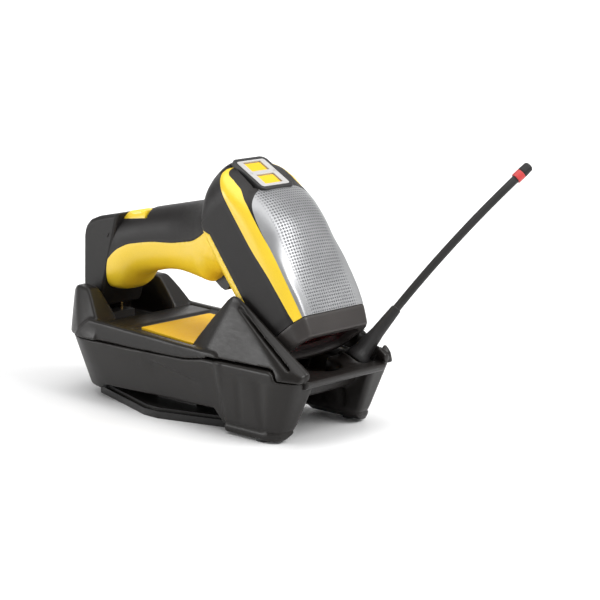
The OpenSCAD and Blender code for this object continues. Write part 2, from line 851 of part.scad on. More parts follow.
// The latch that frees the battery, on top of the grip by the cap
latch_from = 14.6;
latch_length = 27.4;
latch_travel = 2.5;
latch_half = 14.6;
latch_low = 13;
function latch_arch(grow) = concat(
    [[-latch_half - grow, latch_low - grow]],
    [for (a = [170 : -10 : 10]) [
        (latch_half + grow) * spow(cos(a), 0.62), latch_low + (grip_top - latch_low + 0.4 + grow) * spow(sin(a), 0.62)
    ]],
    [[latch_half + grow, latch_low - grow]]
);
module latch_bar(start, length, grow)
    in_handle()
        translate([start, 0, 0])
            rotate([90, 0, 90])
                linear_extrude(length) polygon(latch_arch(grow));

module latch_space() latch_bar(latch_from - gap, latch_length + latch_travel + 2 * gap, 0.4);

// Thumb hollow across the latch and the grip behind it
latch_dish_at = 34;
latch_dish_r = 22;
module latch_dish()
    in_handle()
        translate([latch_dish_at, 0, grip_top + latch_dish_r - 3.4])
            rotate([90, 0, 0]) cylinder(r = latch_dish_r, h = 60, center = true, $fn = 96);

module battery_latch() color("#f3c12b")
    difference() {
        latch_bar(latch_from, latch_length, 0);
        in_handle() translate([latch_from - 1, -11.5, 10]) cube([latch_length - 2, 23, 6.4]);
        latch_dish();
        translate([2.2 * gap, 0, 0]) side_cut(behind_cap);
        in_handle() translate([latch_dish_at - 3, 0, grip_top - 6.2])
            rotate_extrude() polygon([[0, 0], [3.8, 0], [6.6, 6.4], [0, 6.4]]);
    }

// ---------- trigger ----------
pivot = [25, 0, 109];
trigger_half = 6;
pivot_r = 1.5;
trigger_outline = [[20, 108], [22, 112], [28, 112], [30, 108], [30.4, 99], [30, 92.6], [28, 88.8],
    [25, 87.4], [21.2, 88.8], [13.8, 93.7], [12.2, 96.4], [13, 98.6], [17.6, 101.2]];
spring_z = 105;

module trigger_slot(grow)
    side_cut([[9, 92], [9.4, 108], [16, 115], [34, 116], [36.6, 96], [34, 84], [18, 84]], 2 * trigger_half + 1.4);

module trigger() color("#2a2624")
    difference() {
        side_cut(trigger_outline, 2 * trigger_half);
        translate(pivot) rotate([90, 0, 0]) cylinder(r = pivot_r + 0.05, h = 40, center = true);
        translate([21.8, 0, spring_z]) rotate([0, -90, 0]) cylinder(r = 2.8, h = 12);
    }

module trigger_pin() color("silver")
    translate(pivot) rotate([90, 0, 0]) cylinder(r = pivot_r, h = 19, center = true);

module trigger_spring() color("silver")
    translate([21.5, 0, spring_z])
        rotate([0, -90, 0])
            difference() {
                cylinder(r = 2.2, h = 11.5);
                translate([0, 0, -1]) cylinder(r = 1.5, h = 14);
            }

module trigger_switch() color("#222222")
    translate([4.6, -4, 101]) cube([5, 8, 7]);

// ---------- inside the head ----------
module engine_frame() color("#1f1f22")
    in_head()
        difference() {
            translate([-34, -19, 14]) cube([40, 38, 24]);
            translate([-20, -11, 20]) cube([40, 22, 12]);
        }

module engine_lens() color([0.7, 0.8, 0.9, 0.5])
    in_head()
        translate([-6, 0, 26]) rotate([0, 90, 0]) cylinder(r = 5.4, h = 4);

module main_board() color("#2f6b3f")
    in_head()
        difference() {
            translate([-97, -21, 9]) cube([97, 42, 1.6]);
            translate([-92, 0, 0]) cylinder(r = 2, h = 20);
        }

module link_board() color("#3a7f4a")
    in_head()
        translate([-84, -17, 19]) cube([40, 34, 1.2]);

module beeper() color("#17181a")
    in_head()
        translate([-60, 0, 20.6]) cylinder(r = 6, h = 5);

housing_screw_places = [[-78, 20], [-78, -20], [-10, 22], [-10, -22]];
module housing_screws() color("silver")
    in_head()
        for (p = housing_screw_places)
            translate([p[0], p[1], -2]) screw(2.4, 1.8, 1.2, 8, 1.1);

cradle_lower_shell();
cradle_upper_shell();
label_plate();
status_lights();
cradle_board();
radio_module();
antenna_socket();
contact_block();
contact_pin_left();
contact_pin_right();
mounting_bracket();
bracket_screws();
cradle_screws();
rubber_feet();
power_jack();
data_port();
antenna_boot();
antenna_whip();
antenna_band();
antenna_tip();
head_housing();
top_cover();
head_boot();
nose_bezel();
window_seal();
scan_window();
keypad_rim();
keypad_frame();
keypad_screws();
key_rear();
key_front();
handle_front();
handle_back();
battery_cap();
battery_pack();
battery_contacts();
charge_pads();
battery_latch();
trigger();
trigger_pin();
trigger_spring();
trigger_switch();
engine_frame();
engine_lens();
main_board();
link_board();
beeper();
housing_screws();
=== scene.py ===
import math

import bmesh
import bpy
import numpy as np
import openvdb
from mathutils import Matrix, Vector


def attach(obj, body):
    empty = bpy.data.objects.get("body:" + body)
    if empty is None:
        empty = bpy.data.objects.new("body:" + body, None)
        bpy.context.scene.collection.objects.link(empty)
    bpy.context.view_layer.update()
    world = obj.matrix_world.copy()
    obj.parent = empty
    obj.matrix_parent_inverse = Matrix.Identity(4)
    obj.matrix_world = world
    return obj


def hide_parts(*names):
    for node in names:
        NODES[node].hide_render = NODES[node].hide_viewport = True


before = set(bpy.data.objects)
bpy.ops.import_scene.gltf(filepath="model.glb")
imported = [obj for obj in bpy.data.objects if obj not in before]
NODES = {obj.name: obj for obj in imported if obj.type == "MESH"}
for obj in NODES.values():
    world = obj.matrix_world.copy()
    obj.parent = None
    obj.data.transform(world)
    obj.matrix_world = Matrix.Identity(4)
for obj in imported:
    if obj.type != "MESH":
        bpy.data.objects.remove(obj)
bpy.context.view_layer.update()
MM = 0.001
# Where the head, the grip and the keypad sit, in millimetres, and how they are pitched, in degrees
HEAD_AT, HEAD_PITCH = (80.4, 0, 62.8), 52
GRIP_AT, GRIP_RISE = (-85, 0, 105), 12
KEYPAD_AT, KEYPAD_PITCH = np.array([-101.4, 0, 46.2]), -23


# ---------------------------------------------------------------- materials
class Tree:
    """A material's node tree, with short calls for the nodes used here."""

    def __init__(self, name):
        self.mat = bpy.data.materials.new(name)
        self.mat.use_nodes = True
        self.nt = self.mat.node_tree
        self.nt.nodes.clear()
        self.out = self.nt.nodes.new("ShaderNodeOutputMaterial")
        self.bsdf = self.nt.nodes.new("ShaderNodeBsdfPrincipled")
        self.link(self.bsdf.outputs[0], self.out.inputs[0])
        self.coords = self.nt.nodes.new("ShaderNodeTexCoord").outputs["Object"]

    def link(self, a, b):
        self.nt.links.new(a, b)

    def node(self, kind, **values):
        n = self.nt.nodes.new(kind)
        for k, v in values.items():
            if hasattr(n, k):
                setattr(n, k, v)
        return n

    def feed(self, socket, value):
        if hasattr(value, "is_output"):
            self.link(value, socket)
        else:
            socket.default_value = value

    def noise(self, scale, detail=3.0, rough=0.5, vector=None, stretch=None):
        v = vector or self.coords
        if stretch:
            m = self.node("ShaderNodeMapping")
            m.inputs["Scale"].default_value = stretch
            self.link(v, m.inputs[0])
            v = m.outputs[0]
        n = self.node("ShaderNodeTexNoise")
        n.inputs["Scale"].default_value = scale
        n.inputs["Detail"].default_value = detail
        n.inputs["Roughness"].default_value = rough
        self.link(v, n.inputs["Vector"])
        return n.outputs["Fac"]

    def math(self, op, a, b=0.0, clamp=False):
        n = self.node("ShaderNodeMath", operation=op, use_clamp=clamp)
        self.feed(n.inputs[0], a)
        self.feed(n.inputs[1], b)
        return n.outputs[0]

    def span(self, value, a, b, c, d, clamp=True):
        n = self.node("ShaderNodeMapRange", clamp=clamp)
        self.feed(n.inputs[0], value)
        for i, x in enumerate((a, b, c, d)):
            self.feed(n.inputs[i + 1], x)
        return n.outputs[0]

    def mix(self, fac, a, b):
        n = self.node("ShaderNodeMix", data_type="RGBA")
        self.feed(n.inputs["Factor"], fac)
        self.feed(n.inputs["A"], a if hasattr(a, "is_output") else (*a, 1))
        self.feed(n.inputs["B"], b if hasattr(b, "is_output") else (*b, 1))
        return n.outputs["Result"]

    def bump(self, height, strength, distance, normal=None):
        n = self.node("ShaderNodeBump")
        n.inputs["Strength"].default_value = strength
        n.inputs["Distance"].default_value = distance
        self.link(height, n.inputs["Height"])
        if normal is not None:
            self.link(normal, n.inputs["Normal"])
        return n.outputs[0]

    def set(self, **values):
        names = {"color": "Base Color", "rough": "Roughness", "metal": "Metallic", "normal": "Normal",
                "coat": "Coat Weight", "coat_rough": "Coat Roughness", "spec": "Specular IOR Level",
                "ior": "IOR", "trans": "Transmission Weight", "alpha": "Alpha", "sheen": "Sheen Weight",
                "sub": "Subsurface Weight"}
        for k, v in values.items():
            s = self.bsdf.inputs[names[k]]
            if k == "color" and not hasattr(v, "is_output"):
                v = (*v, 1)
            self.feed(s, v)
        return self.mat


def shade(color, k):
    return tuple(min(1.0, c * k) for c in color)


def moulded(name, color, rough=0.5, grain=0.35, grain_mm=0.45, vary=0.12, wear=0.0, worn=(0.2, 0.19, 0.18),
        coat=0.0, dust=0.0, spec=0.5):
    """Injection-moulded plastic: spark-eroded grain, faint flow variation, rubbed edges and settled dust."""
    t = Tree(name)
    blotch = t.noise(22, 2)
    fine = t.noise(1000 / grain_mm, 2, 0.6)
    scuff = t.noise(160, 5, 0.65, stretch=(1, 1, 3.5))
    base = t.mix(t.span(blotch, 0.35, 0.68, 0, 1), shade(color, 1 - vary), shade(color, 1 + vary))
    base = t.mix(t.span(fine, 0.4, 0.62, 0, 0.35), base, shade(color, 0.72))
    if wear:
        g = t.node("ShaderNodeNewGeometry")
        edge = t.span(g.outputs["Pointiness"], 0.515, 0.56, 0, 1)
        base = t.mix(t.math("MULTIPLY", edge, t.math("MULTIPLY", scuff, wear)), base, worn)
    if dust:
        g = t.node("ShaderNodeNewGeometry")
        sep = t.node("ShaderNodeSeparateXYZ")
        t.link(g.outputs["Normal"], sep.inputs[0])
        up = t.span(sep.outputs[2], 0.55, 1.0, 0, 1)
        base = t.mix(t.math("MULTIPLY", up, t.math("MULTIPLY", t.noise(90, 4), dust)), base,
                (0.33, 0.31, 0.29))
    r = t.span(t.math("ADD", t.math("MULTIPLY", scuff, 0.6), t.math("MULTIPLY", blotch, 0.4)), 0.25, 0.75,
            rough - 0.07, rough + 0.08)
    normal = t.bump(fine, grain, 0.00008)
    normal = t.bump(t.noise(260, 2), grain * 0.2, 0.0002, normal)
    return t.set(color=base, rough=r, normal=normal, coat=coat, coat_rough=0.25, spec=spec)


def metal(name, color, rough=0.28, brushed=(1, 1, 1)):
    t = Tree(name)
    streak = t.noise(900, 3, 0.6, stretch=brushed)
    base = t.mix(t.span(t.noise(60, 3), 0.3, 0.7, 0, 1), shade(color, 0.82), shade(color, 1.08))
    return t.set(color=base, metal=1.0, rough=t.span(streak, 0.3, 0.7, rough - 0.08, rough + 0.12),
            normal=t.bump(streak, 0.15, 0.00004))


CRADLE = (0.0105, 0.0088, 0.0078)
YELLOW = (0.96, 0.66, 0.030)
M = {}
M["cradle"] = moulded("cradle_grain", CRADLE, 0.36, 0.5, 0.5, 0.1, wear=0.5, worn=(0.055, 0.051, 0.048),
        dust=0.02, spec=0.3)
M["bracket"] = moulded("bracket_grain", (0.011, 0.010, 0.0095), 0.40, 0.5, 0.5, 0.1, wear=0.4,
        worn=(0.06, 0.06, 0.06), spec=0.32)
M["rubber"] = moulded("soft_overmould", (0.0135, 0.012, 0.0118), 0.44, 0.3, 0.3, 0.1, wear=0.25,
        worn=(0.045, 0.043, 0.042), dust=0.02, spec=0.26)
M["cap"] = moulded("cap_plastic", (0.013, 0.0118, 0.0112), 0.42, 0.45, 0.4, 0.1, wear=0.5,
        worn=(0.055, 0.052, 0.05), dust=0.02, spec=0.28)
M["bezel"] = moulded("bezel_plastic", (0.042, 0.037, 0.035), 0.40, 0.6, 0.5, 0.12, wear=0.5,
        worn=(0.07, 0.065, 0.06), dust=0.03, spec=0.32)
M["yellow"] = moulded("yellow_gloss", YELLOW, 0.34, 0.12, 0.3, 0.035, wear=0.12, worn=(0.98, 0.8, 0.3),
        coat=0.25)
M["key"] = moulded("key_rubber", (0.93, 0.55, 0.012), 0.42, 0.2, 0.3, 0.06)
M["black"] = moulded("black_satin", (0.022, 0.021, 0.021), 0.42, 0.3, 0.4, 0.12, wear=0.3,
        worn=(0.09, 0.09, 0.09))
# one dark material: the window seal's own colour, and the painted shade of the head's joints on the liner
M["dark"] = moulded("dark_seal_and_joint_shade", (0.012, 0.0115, 0.011), 0.6, 0.3, 0.5, 0.15)
M["antenna"] = moulded("antenna_sleeve", (0.017, 0.016, 0.016), 0.46, 0.35, 0.35, 0.12, wear=0.3,
        worn=(0.09, 0.09, 0.09), dust=0.04, spec=0.3)
M["red"] = moulded("red_ring", (0.56, 0.035, 0.035), 0.4, 0.2, 0.3, 0.1, coat=0.2)
M["foot"] = moulded("foot_rubber", (0.028, 0.030, 0.030), 0.7, 0.5, 0.4, 0.15)
M["frame"] = moulded("silver_frame", (0.52, 0.51, 0.50), 0.3, 0.2, 0.3, 0.08, wear=0.3,
        worn=(0.8, 0.8, 0.8), coat=0.2)
M["light"] = moulded("light_guide", (0.22, 0.5, 0.2), 0.25, 0.1, 0.3, 0.1, coat=0.4)
M["battery"] = moulded("battery_sleeve", (0.03, 0.1, 0.35), 0.3, 0.1, 0.4, 0.1, coat=0.4)
M["steel"] = metal("zinc_steel", (0.62, 0.61, 0.6), 0.3)
M["gold"] = metal("gold_contact", (0.85, 0.6, 0.25), 0.25)
M["tin"] = metal("tinned_can", (0.7, 0.7, 0.72), 0.3, (1, 12, 1))


def board_material():
    t = Tree("circuit_board")
    m = t.node("ShaderNodeMapping")
    m.inputs["Scale"].default_value = (1, 1, 1)
    t.link(t.coords, m.inputs[0])
    b = t.node("ShaderNodeTexBrick")
    b.inputs["Scale"].default_value = 260
    b.inputs["Mortar Size"].default_value = 0.06
    t.link(m.outputs[0], b.inputs["Vector"])
    base = t.mix(b.outputs["Fac"], (0.012, 0.1, 0.03), (0.03, 0.2, 0.06))
    base = t.mix(t.span(t.noise(300, 2), 0.6, 0.66, 0, 0.8), base, (0.6, 0.5, 0.3))
    return t.set(color=base, rough=0.35, coat=0.3, coat_rough=0.2,
            normal=t.bump(b.outputs["Fac"], 0.3, 0.0001))


def knurl_material():
    """Silver cover with a fine diamond pattern of dents on its crown, which runs out before its shoulders;
    the dents are painted dark as the shade inside them.
    """
    t = Tree("knurled_silver")
    m = t.node("ShaderNodeMapping", vector_type="POINT")
    m.inputs["Rotation"].default_value = (0, -math.radians(HEAD_PITCH), 0)
    t.link(t.coords, m.inputs[0])
    sep = t.node("ShaderNodeSeparateXYZ")
    t.link(m.outputs[0], sep.inputs[0])
    along, across = sep.outputs[0], sep.outputs[1]
    pitch = 0.0031
    k = 2 * math.pi / pitch
    a = t.math("SINE", t.math("MULTIPLY", t.math("ADD", along, across), k / 1.414))
    b = t.math("SINE", t.math("MULTIPLY", t.math("SUBTRACT", along, across), k / 1.414))
    dots = t.math("MULTIPLY", a, b)
    side = t.math("ABSOLUTE", across)
    fade = t.span(t.math("ADD", side, t.math("MULTIPLY", t.noise(40, 1), 0.002)), 0.0215, 0.0265, 1, 0)
    dent = t.math("MULTIPLY", t.span(dots, 0.05, 0.62, 0, 1), fade)
    silver = t.mix(t.span(t.noise(30, 3), 0.35, 0.65, 0, 1), (0.28, 0.283, 0.29), (0.37, 0.373, 0.38))
    # the dents are painted near black: painted shade in the dimples, on top of their bump
    base = t.mix(dent, silver, (0.07, 0.072, 0.078))
    base = t.mix(t.span(t.noise(700, 2), 0.45, 0.6, 0, 0.25), base, (0.3, 0.3, 0.31))
    normal = t.bump(dent, 0.9, 0.0003)
    normal = t.bump(t.noise(2200, 2), 0.12, 0.00006, normal)
    return t.set(color=base, metal=0.45, rough=t.span(dent, 0, 1, 0.34, 0.5), normal=normal, coat=0.15,
            coat_rough=0.3)


def label_material():
    t = Tree("label_plate_print")
    base = t.mix(t.span(t.noise(35, 3), 0.3, 0.7, 0, 1), (0.90, 0.53, 0.022), (0.95, 0.60, 0.035))
    base = t.mix(t.span(t.noise(420, 4, 0.7), 0.56, 0.7, 0, 0.4), base, (0.80, 0.42, 0.03))
    return t.set(color=base, rough=t.span(t.noise(500, 3), 0.3, 0.7, 0.46, 0.62),
            normal=t.bump(t.noise(1800, 2), 0.3, 0.00008), spec=0.12)


def window_material():
    t = Tree("scan_window_red")
    smear = t.noise(70, 4)
    base = t.mix(t.span(smear, 0.3, 0.7, 0, 1), (0.035, 0.004, 0.005), (0.06, 0.006, 0.008))
    return t.set(color=base, rough=t.span(smear, 0.3, 0.7, 0.05, 0.14), coat=0.6, coat_rough=0.05,
            normal=t.bump(t.noise(20, 1), 0.05, 0.001))


def lens_material():
    t = Tree("lens_coated")
    base = t.mix(t.span(t.noise(120, 2), 0.3, 0.7, 0, 1), (0.1, 0.12, 0.2), (0.16, 0.2, 0.3))
    return t.set(color=base, rough=t.span(t.noise(200, 2), 0.3, 0.7, 0.04, 0.1), coat=0.8, coat_rough=0.03)


M["board"] = board_material()
M["knurl"] = knurl_material()
M["label"] = label_material()
M["window"] = window_material()
M["lens"] = lens_material()


# ---------------------------------------------------------------- mesh tools
def make(name, verts, faces, material, body, smooth=True, replaces=()):
    """A mesh object from points in millimetres, riding on a body."""
    me = bpy.data.meshes.new(name)
    me.from_pydata([tuple(float(c) * MM for c in v) for v in verts], [],
            [tuple(int(i) for i in f) for f in faces])
    me.validate()
    ob = bpy.data.objects.new(name, me)
    bpy.context.scene.collection.objects.link(ob)
    bm = bmesh.new()
    bm.from_mesh(me)
    bmesh.ops.remove_doubles(bm, verts=bm.verts, dist=1e-6)
    bmesh.ops.dissolve_degenerate(bm, edges=bm.edges, dist=1e-7)
    loose = [v for v in bm.verts if not v.link_faces]
    bmesh.ops.delete(bm, geom=loose, context="VERTS")
    bmesh.ops.recalc_face_normals(bm, faces=bm.faces)
    bm.to_mesh(me)
    bm.free()
    if smooth:
        me.shade_smooth()
    me.materials.append(material)
    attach(ob, body)
    if replaces:
        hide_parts(*replaces)
    return ob


def bevelled(ob, width, segments=3, angle=35, weld=0.0, clean=False):
    """Rounded edges for a hard piece; a carried CAD node also gets its flat faces merged first."""
    if weld:
        w = ob.modifiers.new("weld", "WELD")
        w.merge_threshold = weld
    if clean:
        d = ob.modifiers.new("clean", "DECIMATE")
        d.decimate_type = "DISSOLVE"
        d.angle_limit = math.radians(1.5)
    b = ob.modifiers.new("edge", "BEVEL")
    b.width = width * MM
    b.segments = segments
    b.limit_method = "ANGLE"
    b.angle_limit = math.radians(angle)
    b.harden_normals = False
    b.use_clamp_overlap = True
    n = ob.modifiers.new("normals", "WEIGHTED_NORMAL")
    n.keep_sharp = False
    n.weight = 60
    return ob


def carry(node, material, width=0.3, segments=2, angle=35):
    """Keeps a CAD node and gives it a material and rounded edges."""
    ob = NODES[node]
    ob.data.materials.clear()
    ob.data.materials.append(material)
    for p in ob.data.polygons:
        p.use_smooth = True
    if width:
        bevelled(ob, width, segments, angle, weld=2e-6, clean=True)
    return ob


def pchip(table):
    """A smooth curve through a table of (x, y), with no overshoot."""
    xs = np.array([p[0] for p in table], float)
    ys = np.array([p[1] for p in table], float)
    h = np.diff(xs)
    d = np.diff(ys) / h
    m = np.zeros(len(xs))
    for i in range(1, len(xs) - 1):
        if d[i - 1] * d[i] > 0:
            w1, w2 = 2 * h[i] + h[i - 1], h[i] + 2 * h[i - 1]
            m[i] = (w1 + w2) / (w1 / d[i - 1] + w2 / d[i])
    m[0], m[-1] = d[0], d[-1]

    def f(x):
        x = np.clip(x, xs[0], xs[-1])
        i = np.clip(np.searchsorted(xs, x) - 1, 0, len(h) - 1)
        t = (x - xs[i]) / h[i]
        return ((2 * t**3 - 3 * t**2 + 1) * ys[i] + (t**3 - 2 * t**2 + t) * h[i] * m[i]
                + (-2 * t**3 + 3 * t**2) * ys[i + 1] + (t**3 - t**2) * h[i] * m[i + 1])
    return f


def sgnpow(x, p):
    return np.sign(x) * np.abs(x) ** p


def local_frame(origin, pitch):
    """Points (along, across, up) in a tilted frame, as points in the row frame."""
    c, s = math.cos(math.radians(pitch)), math.sin(math.radians(pitch))

    def f(p):
        p = np.asarray(p, float)
        x, y, z = p[..., 0], p[..., 1], p[..., 2]
        return np.stack([origin[0] + x * c + z * s, origin[1] + y, origin[2] - x * s + z * c], -1)
    return f


to_head = local_frame(HEAD_AT, HEAD_PITCH)
to_handle = local_frame(GRIP_AT, -GRIP_RISE)

# ---------------------------------------------------------------- scanner head
DOME, END = -120.0, 6.5
belly = pchip([(-121, 14), (-112, 7), (-104, 2), (-96, -1), (-60, -6), (-30, -4.4), (0, -1), (23, 1)])
crown = pchip([(-121, 40), (-116, 41.5), (-108, 45), (-98, 49), (-91, 51.5), (-82, 56), (-72, 59.6),
        (-58, 60.8), (-40, 57.8), (-16, 52.5), (2, 48.9), (7, 47.6), (20, 43.6)])
power = pchip([(-121, 2.4), (-60, 2.4), (-20, 2.6), (4, 3.2), (23, 3.6)])
flatness = pchip([(-130, 0), (-50, 0), (-25, 0.5), (0, 1), (30, 1)])
flat_half = pchip([(-50, 31), (7, 30), (20, 29)])
stripe_low = pchip([(-121, 38.8), (-112.4, 39.6), (-110.5, 38.8), (-104, 38), (-80, 37.6), (-56, 37.8),
        (-26, 40), (4.4, 40.4), (20, 40.4)])
stripe_high = pchip([(-121, 40.4), (-112.4, 41), (-108, 42.2), (-100, 45.2), (-92, 47.5), (-84, 48.6),
        (-74, 49.6), (-50, 49.9), (-36, 49.9), (-19, 49.1), (1, 47), (6.4, 46.2), (20, 42.4)])
cover_low = pchip([(-91, 51.2), (-90.4, 51.4), (-88, 52.1), (-84, 52.2), (-80, 51.7), (-76, 51.2),
        (-64, 50.4), (-50, 49.95), (-48, 49.9)])
belly_low = pchip([(-92, -2), (-89, 2), (-85, 6.6), (-80, 10.6)])
flank_share = pchip([(-120, 0.02), (-100, 0.25), (-88, 0.55), (-60, 0.55)])
under_power = pchip([(-120, 1.8), (-100, 2), (-88, 2.3), (-60, 2.3)])


def head_half_section(s, inset=0.0):
    """Half section from the bottom's centre line round to the top's, as (across, up) points."""
    t = np.clip((-90 - s) / 30, 0, 1)
    w = (36 - 2.2 * max(s, 0) / 23) * (1 - t ** 2.2) ** (1 / 2.2) - inset
    e = (1 - np.clip((-105 - s) / 15, 0, 1) ** 2.2) ** (1 / 2.2)
    c = 27 + max(0.0, (-100 - s) * 0.38)
    w = max(w, 0.02)
    top = max(c + (crown(s) - c) * e - inset, c + 0.02)
    bottom = min(c + (belly(s) - c) * e + inset, c - 0.02)
    high = min(38.0, c + (top - c) / 2)
    lowest = min(max(10.6, c - (c - bottom) * flank_share(s)), c - 0.01)
    q = 2 / under_power(s)
    a = np.linspace(0, math.pi / 2, 60)
    under = np.stack([w * np.cos(a) ** q, lowest + (bottom - lowest) * np.sin(a) ** q], 1)[::-1]
    p, k, half = power(s), flatness(s), flat_half(s) - inset
    arc = np.stack([w * np.cos(a) ** (2 / p), high + (top - high) * np.sin(a) ** (2 / p)], 1)
    flat = pchip_curve([(w, high), (w - 0.32 * (w - half), high + (top - high) * 0.4),
            (half + 1.25, top - 2.6), (half + 0.35, top - 0.85), (half - 1.2, top - 0.12),
            (half * 0.7, top - 0.02), (half * 0.3, top), (0, top)], 60)
    over = arc * (1 - k) + flat * k
    flank = np.stack([np.full(12, w), np.linspace(lowest, high, 12)], 1)[1:-1]
    return np.concatenate([under, flank, over])


def pchip_curve(points, n):
    """A smooth curve through 2D points, evenly spaced along its length."""
    q = np.array(points, float)
    d = np.concatenate([[0], np.cumsum(np.linalg.norm(np.diff(q, axis=0), axis=1))])
    f, g = pchip(list(zip(d, q[:, 0]))), pchip(list(zip(d, q[:, 1])))
    t = np.linspace(0, d[-1], n)
    return np.stack([f(t), g(t)], 1)


def along(poly):
    d = np.concatenate([[0], np.cumsum(np.linalg.norm(np.diff(poly, axis=0), axis=1))])
    return d


def split_section(poly, levels, counts):
    """Points round a half section, with column breaks where it passes the given heights."""
    d = along(poly)
    v = np.maximum.accumulate(poly[:, 1] + np.arange(len(poly)) * 1e-6)
    cuts = [0.0]
    for level in levels:
        cuts.append(max(cuts[-1] + 0.02, min(float(np.interp(level, v, d)), d[-1] - 0.05)))
    cuts.append(d[-1])
    t = [0.0]
    for a, b, n in zip(cuts[:-1], cuts[1:], counts):
        t.extend(np.linspace(a, b, n + 1)[1:])
    t = np.minimum.accumulate(np.minimum(np.array(t), d[-1])[::-1])[::-1]
    return np.stack([np.interp(t, d, poly[:, 0]), np.interp(t, d, poly[:, 1])], 1)


COLS = (16, 14, 9, 6, 26)


def head_levels(s):
    low = belly_low(s) if s > -92 else -99.0
    sl, sh = stripe_low(s), stripe_high(s)
    cl = sh + 0.02 if s > -49 else (cover_low(s) if s > -90.4 else 99.0)
    return [low, sl, sh, cl]


dome_rows = DOME + 21 * np.linspace(0, 1, 30) ** 2.0
head_rows = np.unique(np.round(np.concatenate([
    dome_rows, np.linspace(-100, -93, 8), [-92.3, -92, -91.6, -91, -90.6, -90.4, -90.2, -89.8, -89, -88.2],
    [-87.4, -87, -86.6, -86.2, -85.8, -85.4, -85], np.linspace(-84, -50, 26), [-49],
    np.linspace(-47, END, 44)]), 4))
slope = math.radians(KEYPAD_PITCH)


def keypad_dent(p, half_x=12.5, half_y=11.5, corner_r=5, margin=1.3, depth=4.6):
    """Sinks the head's skin under the keypad, whose rim covers the step."""
    q = p - KEYPAD_AT
    x = q[..., 0] * math.cos(slope) - q[..., 2] * math.sin(slope)
    z = q[..., 0] * math.sin(slope) + q[..., 2] * math.cos(slope)
    rx, ry = np.maximum(np.abs(x) - half_x, 0), np.maximum(np.abs(q[..., 1]) - half_y, 0)
    gap = corner_r - margin - np.hypot(rx, ry)
    sink = np.where((gap > 0) & (z > -depth), z + depth, 0)
    out = p.copy()
    out[..., 0] -= sink * math.sin(slope)
    out[..., 2] -= sink * math.cos(slope)
    return out


grid = np.array([[(s, y, v) for y, v in split_section(head_half_section(s), head_levels(s),
        COLS)] for s in head_rows])
grid = keypad_dent(grid)
mirrored = grid * np.array([1, -1, 1])
edges = np.concatenate([[0], np.cumsum(COLS)])


def head_piece(name, choose, material, node, thickness, bevel=0.35):
    """One piece of the head's skin, from the grid cells that choose(row s, column group) picks."""
    n = grid.shape[1]
    pts = np.concatenate([grid.reshape(-1, 3), mirrored.reshape(-1, 3)])
    off = grid.shape[0] * n
    faces = []
    for i in range(grid.shape[0] - 1):
        s = (head_rows[i] + head_rows[i + 1]) / 2
        for j in range(n - 1):
            g = int(np.searchsorted(edges, j, side="right")) - 1
            if choose(s, g):
                a, b, c, d = i * n + j, (i + 1) * n + j, (i + 1) * n + j + 1, i * n + j + 1
                faces.append((a, b, c, d))
                faces.append((off + d, off + c, off + b, off + a))
    used = sorted({i for f in faces for i in f})
    remap = {u: k for k, u in enumerate(used)}
    ob = make(name, to_head(pts[used]), [[remap[i] for i in f] for f in faces], material, "scanner",
            True, (node,) if node else ())
    solid = ob.modifiers.new("thickness", "SOLIDIFY")
    solid.thickness = thickness * MM
    solid.offset = -1
    solid.use_quality_normals = True
    if bevel:
        bevelled(ob, bevel, 2, 50)
    return ob


def outward(ob, centre):
    """Turns an open patch's faces away from a point inside it."""
    bm = bmesh.new()
    bm.from_mesh(ob.data)
    flip = [f for f in bm.faces if f.normal.dot(f.calc_center_median() - centre) < 0]
    if len(flip) > len(bm.faces) / 2:
        bmesh.ops.reverse_faces(bm, faces=bm.faces)
    bm.to_mesh(ob.data)
    bm.free()


HEAD_CENTRE = Vector(to_head((-50, 0, 26))) * MM
# How far along the head each band of its skin, from the belly up, stays black rubber
OVERMOULD_END = {0: -92, 1: math.inf, 2: -112.4, 3: -50, 4: -90.4}
boot = head_piece("grip_overmould", lambda s, g: s < OVERMOULD_END.get(g, -math.inf),
        M["rubber"], "head_boot", 2.2)
stripe = head_piece("side_stripes", lambda s, g: g == 2 and s > -112.4, M["yellow"], None,
        2.6)
under = head_piece("housing_belly", lambda s, g: g == 0 and s > -92, M["yellow"],
        "head_housing", 2.4)
cover = head_piece("silver_cover", lambda s, g: g == 4 and s > -90.4, M["knurl"],
        "top_cover", 2.2, 0.3)
for ob in (boot, stripe, under, cover):
    outward(ob, HEAD_CENTRE)


def ring_loft(name, rings, material, body, replaces=(), closed=False):
    """A closed tube through rings of points."""
    n = len(rings[0])
    pts = np.concatenate(rings)
    faces = []
    m = len(rings)
    for i in range(m if closed else m - 1):
        for j in range(n):
            a, b = i * n + j, i * n + (j + 1) % n
            c, d = ((i + 1) % m) * n + (j + 1) % n, ((i + 1) % m) * n + j
            faces.append((a, b, c, d))
    return make(name, pts, faces, material, body, True, replaces)


def whole_ring(s, inset, n):
    """The head's full section at s, as n evenly spaced points in the head's frame."""
    half = head_half_section(s, inset)
    whole = np.concatenate([half, (half * np.array([-1, 1]))[::-1][1:-1]])
    whole = np.concatenate([whole, whole[:1]])
    d = along(whole)
    t = np.linspace(0, d[-1], n, endpoint=False)
    return np.stack([np.full(n, s), np.interp(t, d, whole[:, 0]), np.interp(t, d, whole[:, 1])], 1)


def bezel_ring(s, inset):
    return to_head(whole_ring(s, inset, 132))


ring_loft("nose_hood", [bezel_ring(s, i) for s, i in (
    (END + 0.25, 0.35), (END + 0.6, 0.02), (9, 0), (12, 0), (15, 0), (18, 0), (19.3, 0.1), (19.8, 0.5),
    (20, 1.1), (20, 3), (20, 4.6), (19.8, 5.3), (19.3, 5.7), (17, 6), (15, 6.1), (13.2, 6.2), (10, 6.3),
    (9.4, 5.2), (END + 0.25, 4))],
    M["bezel"], "scanner", ("nose_bezel",), closed=True)


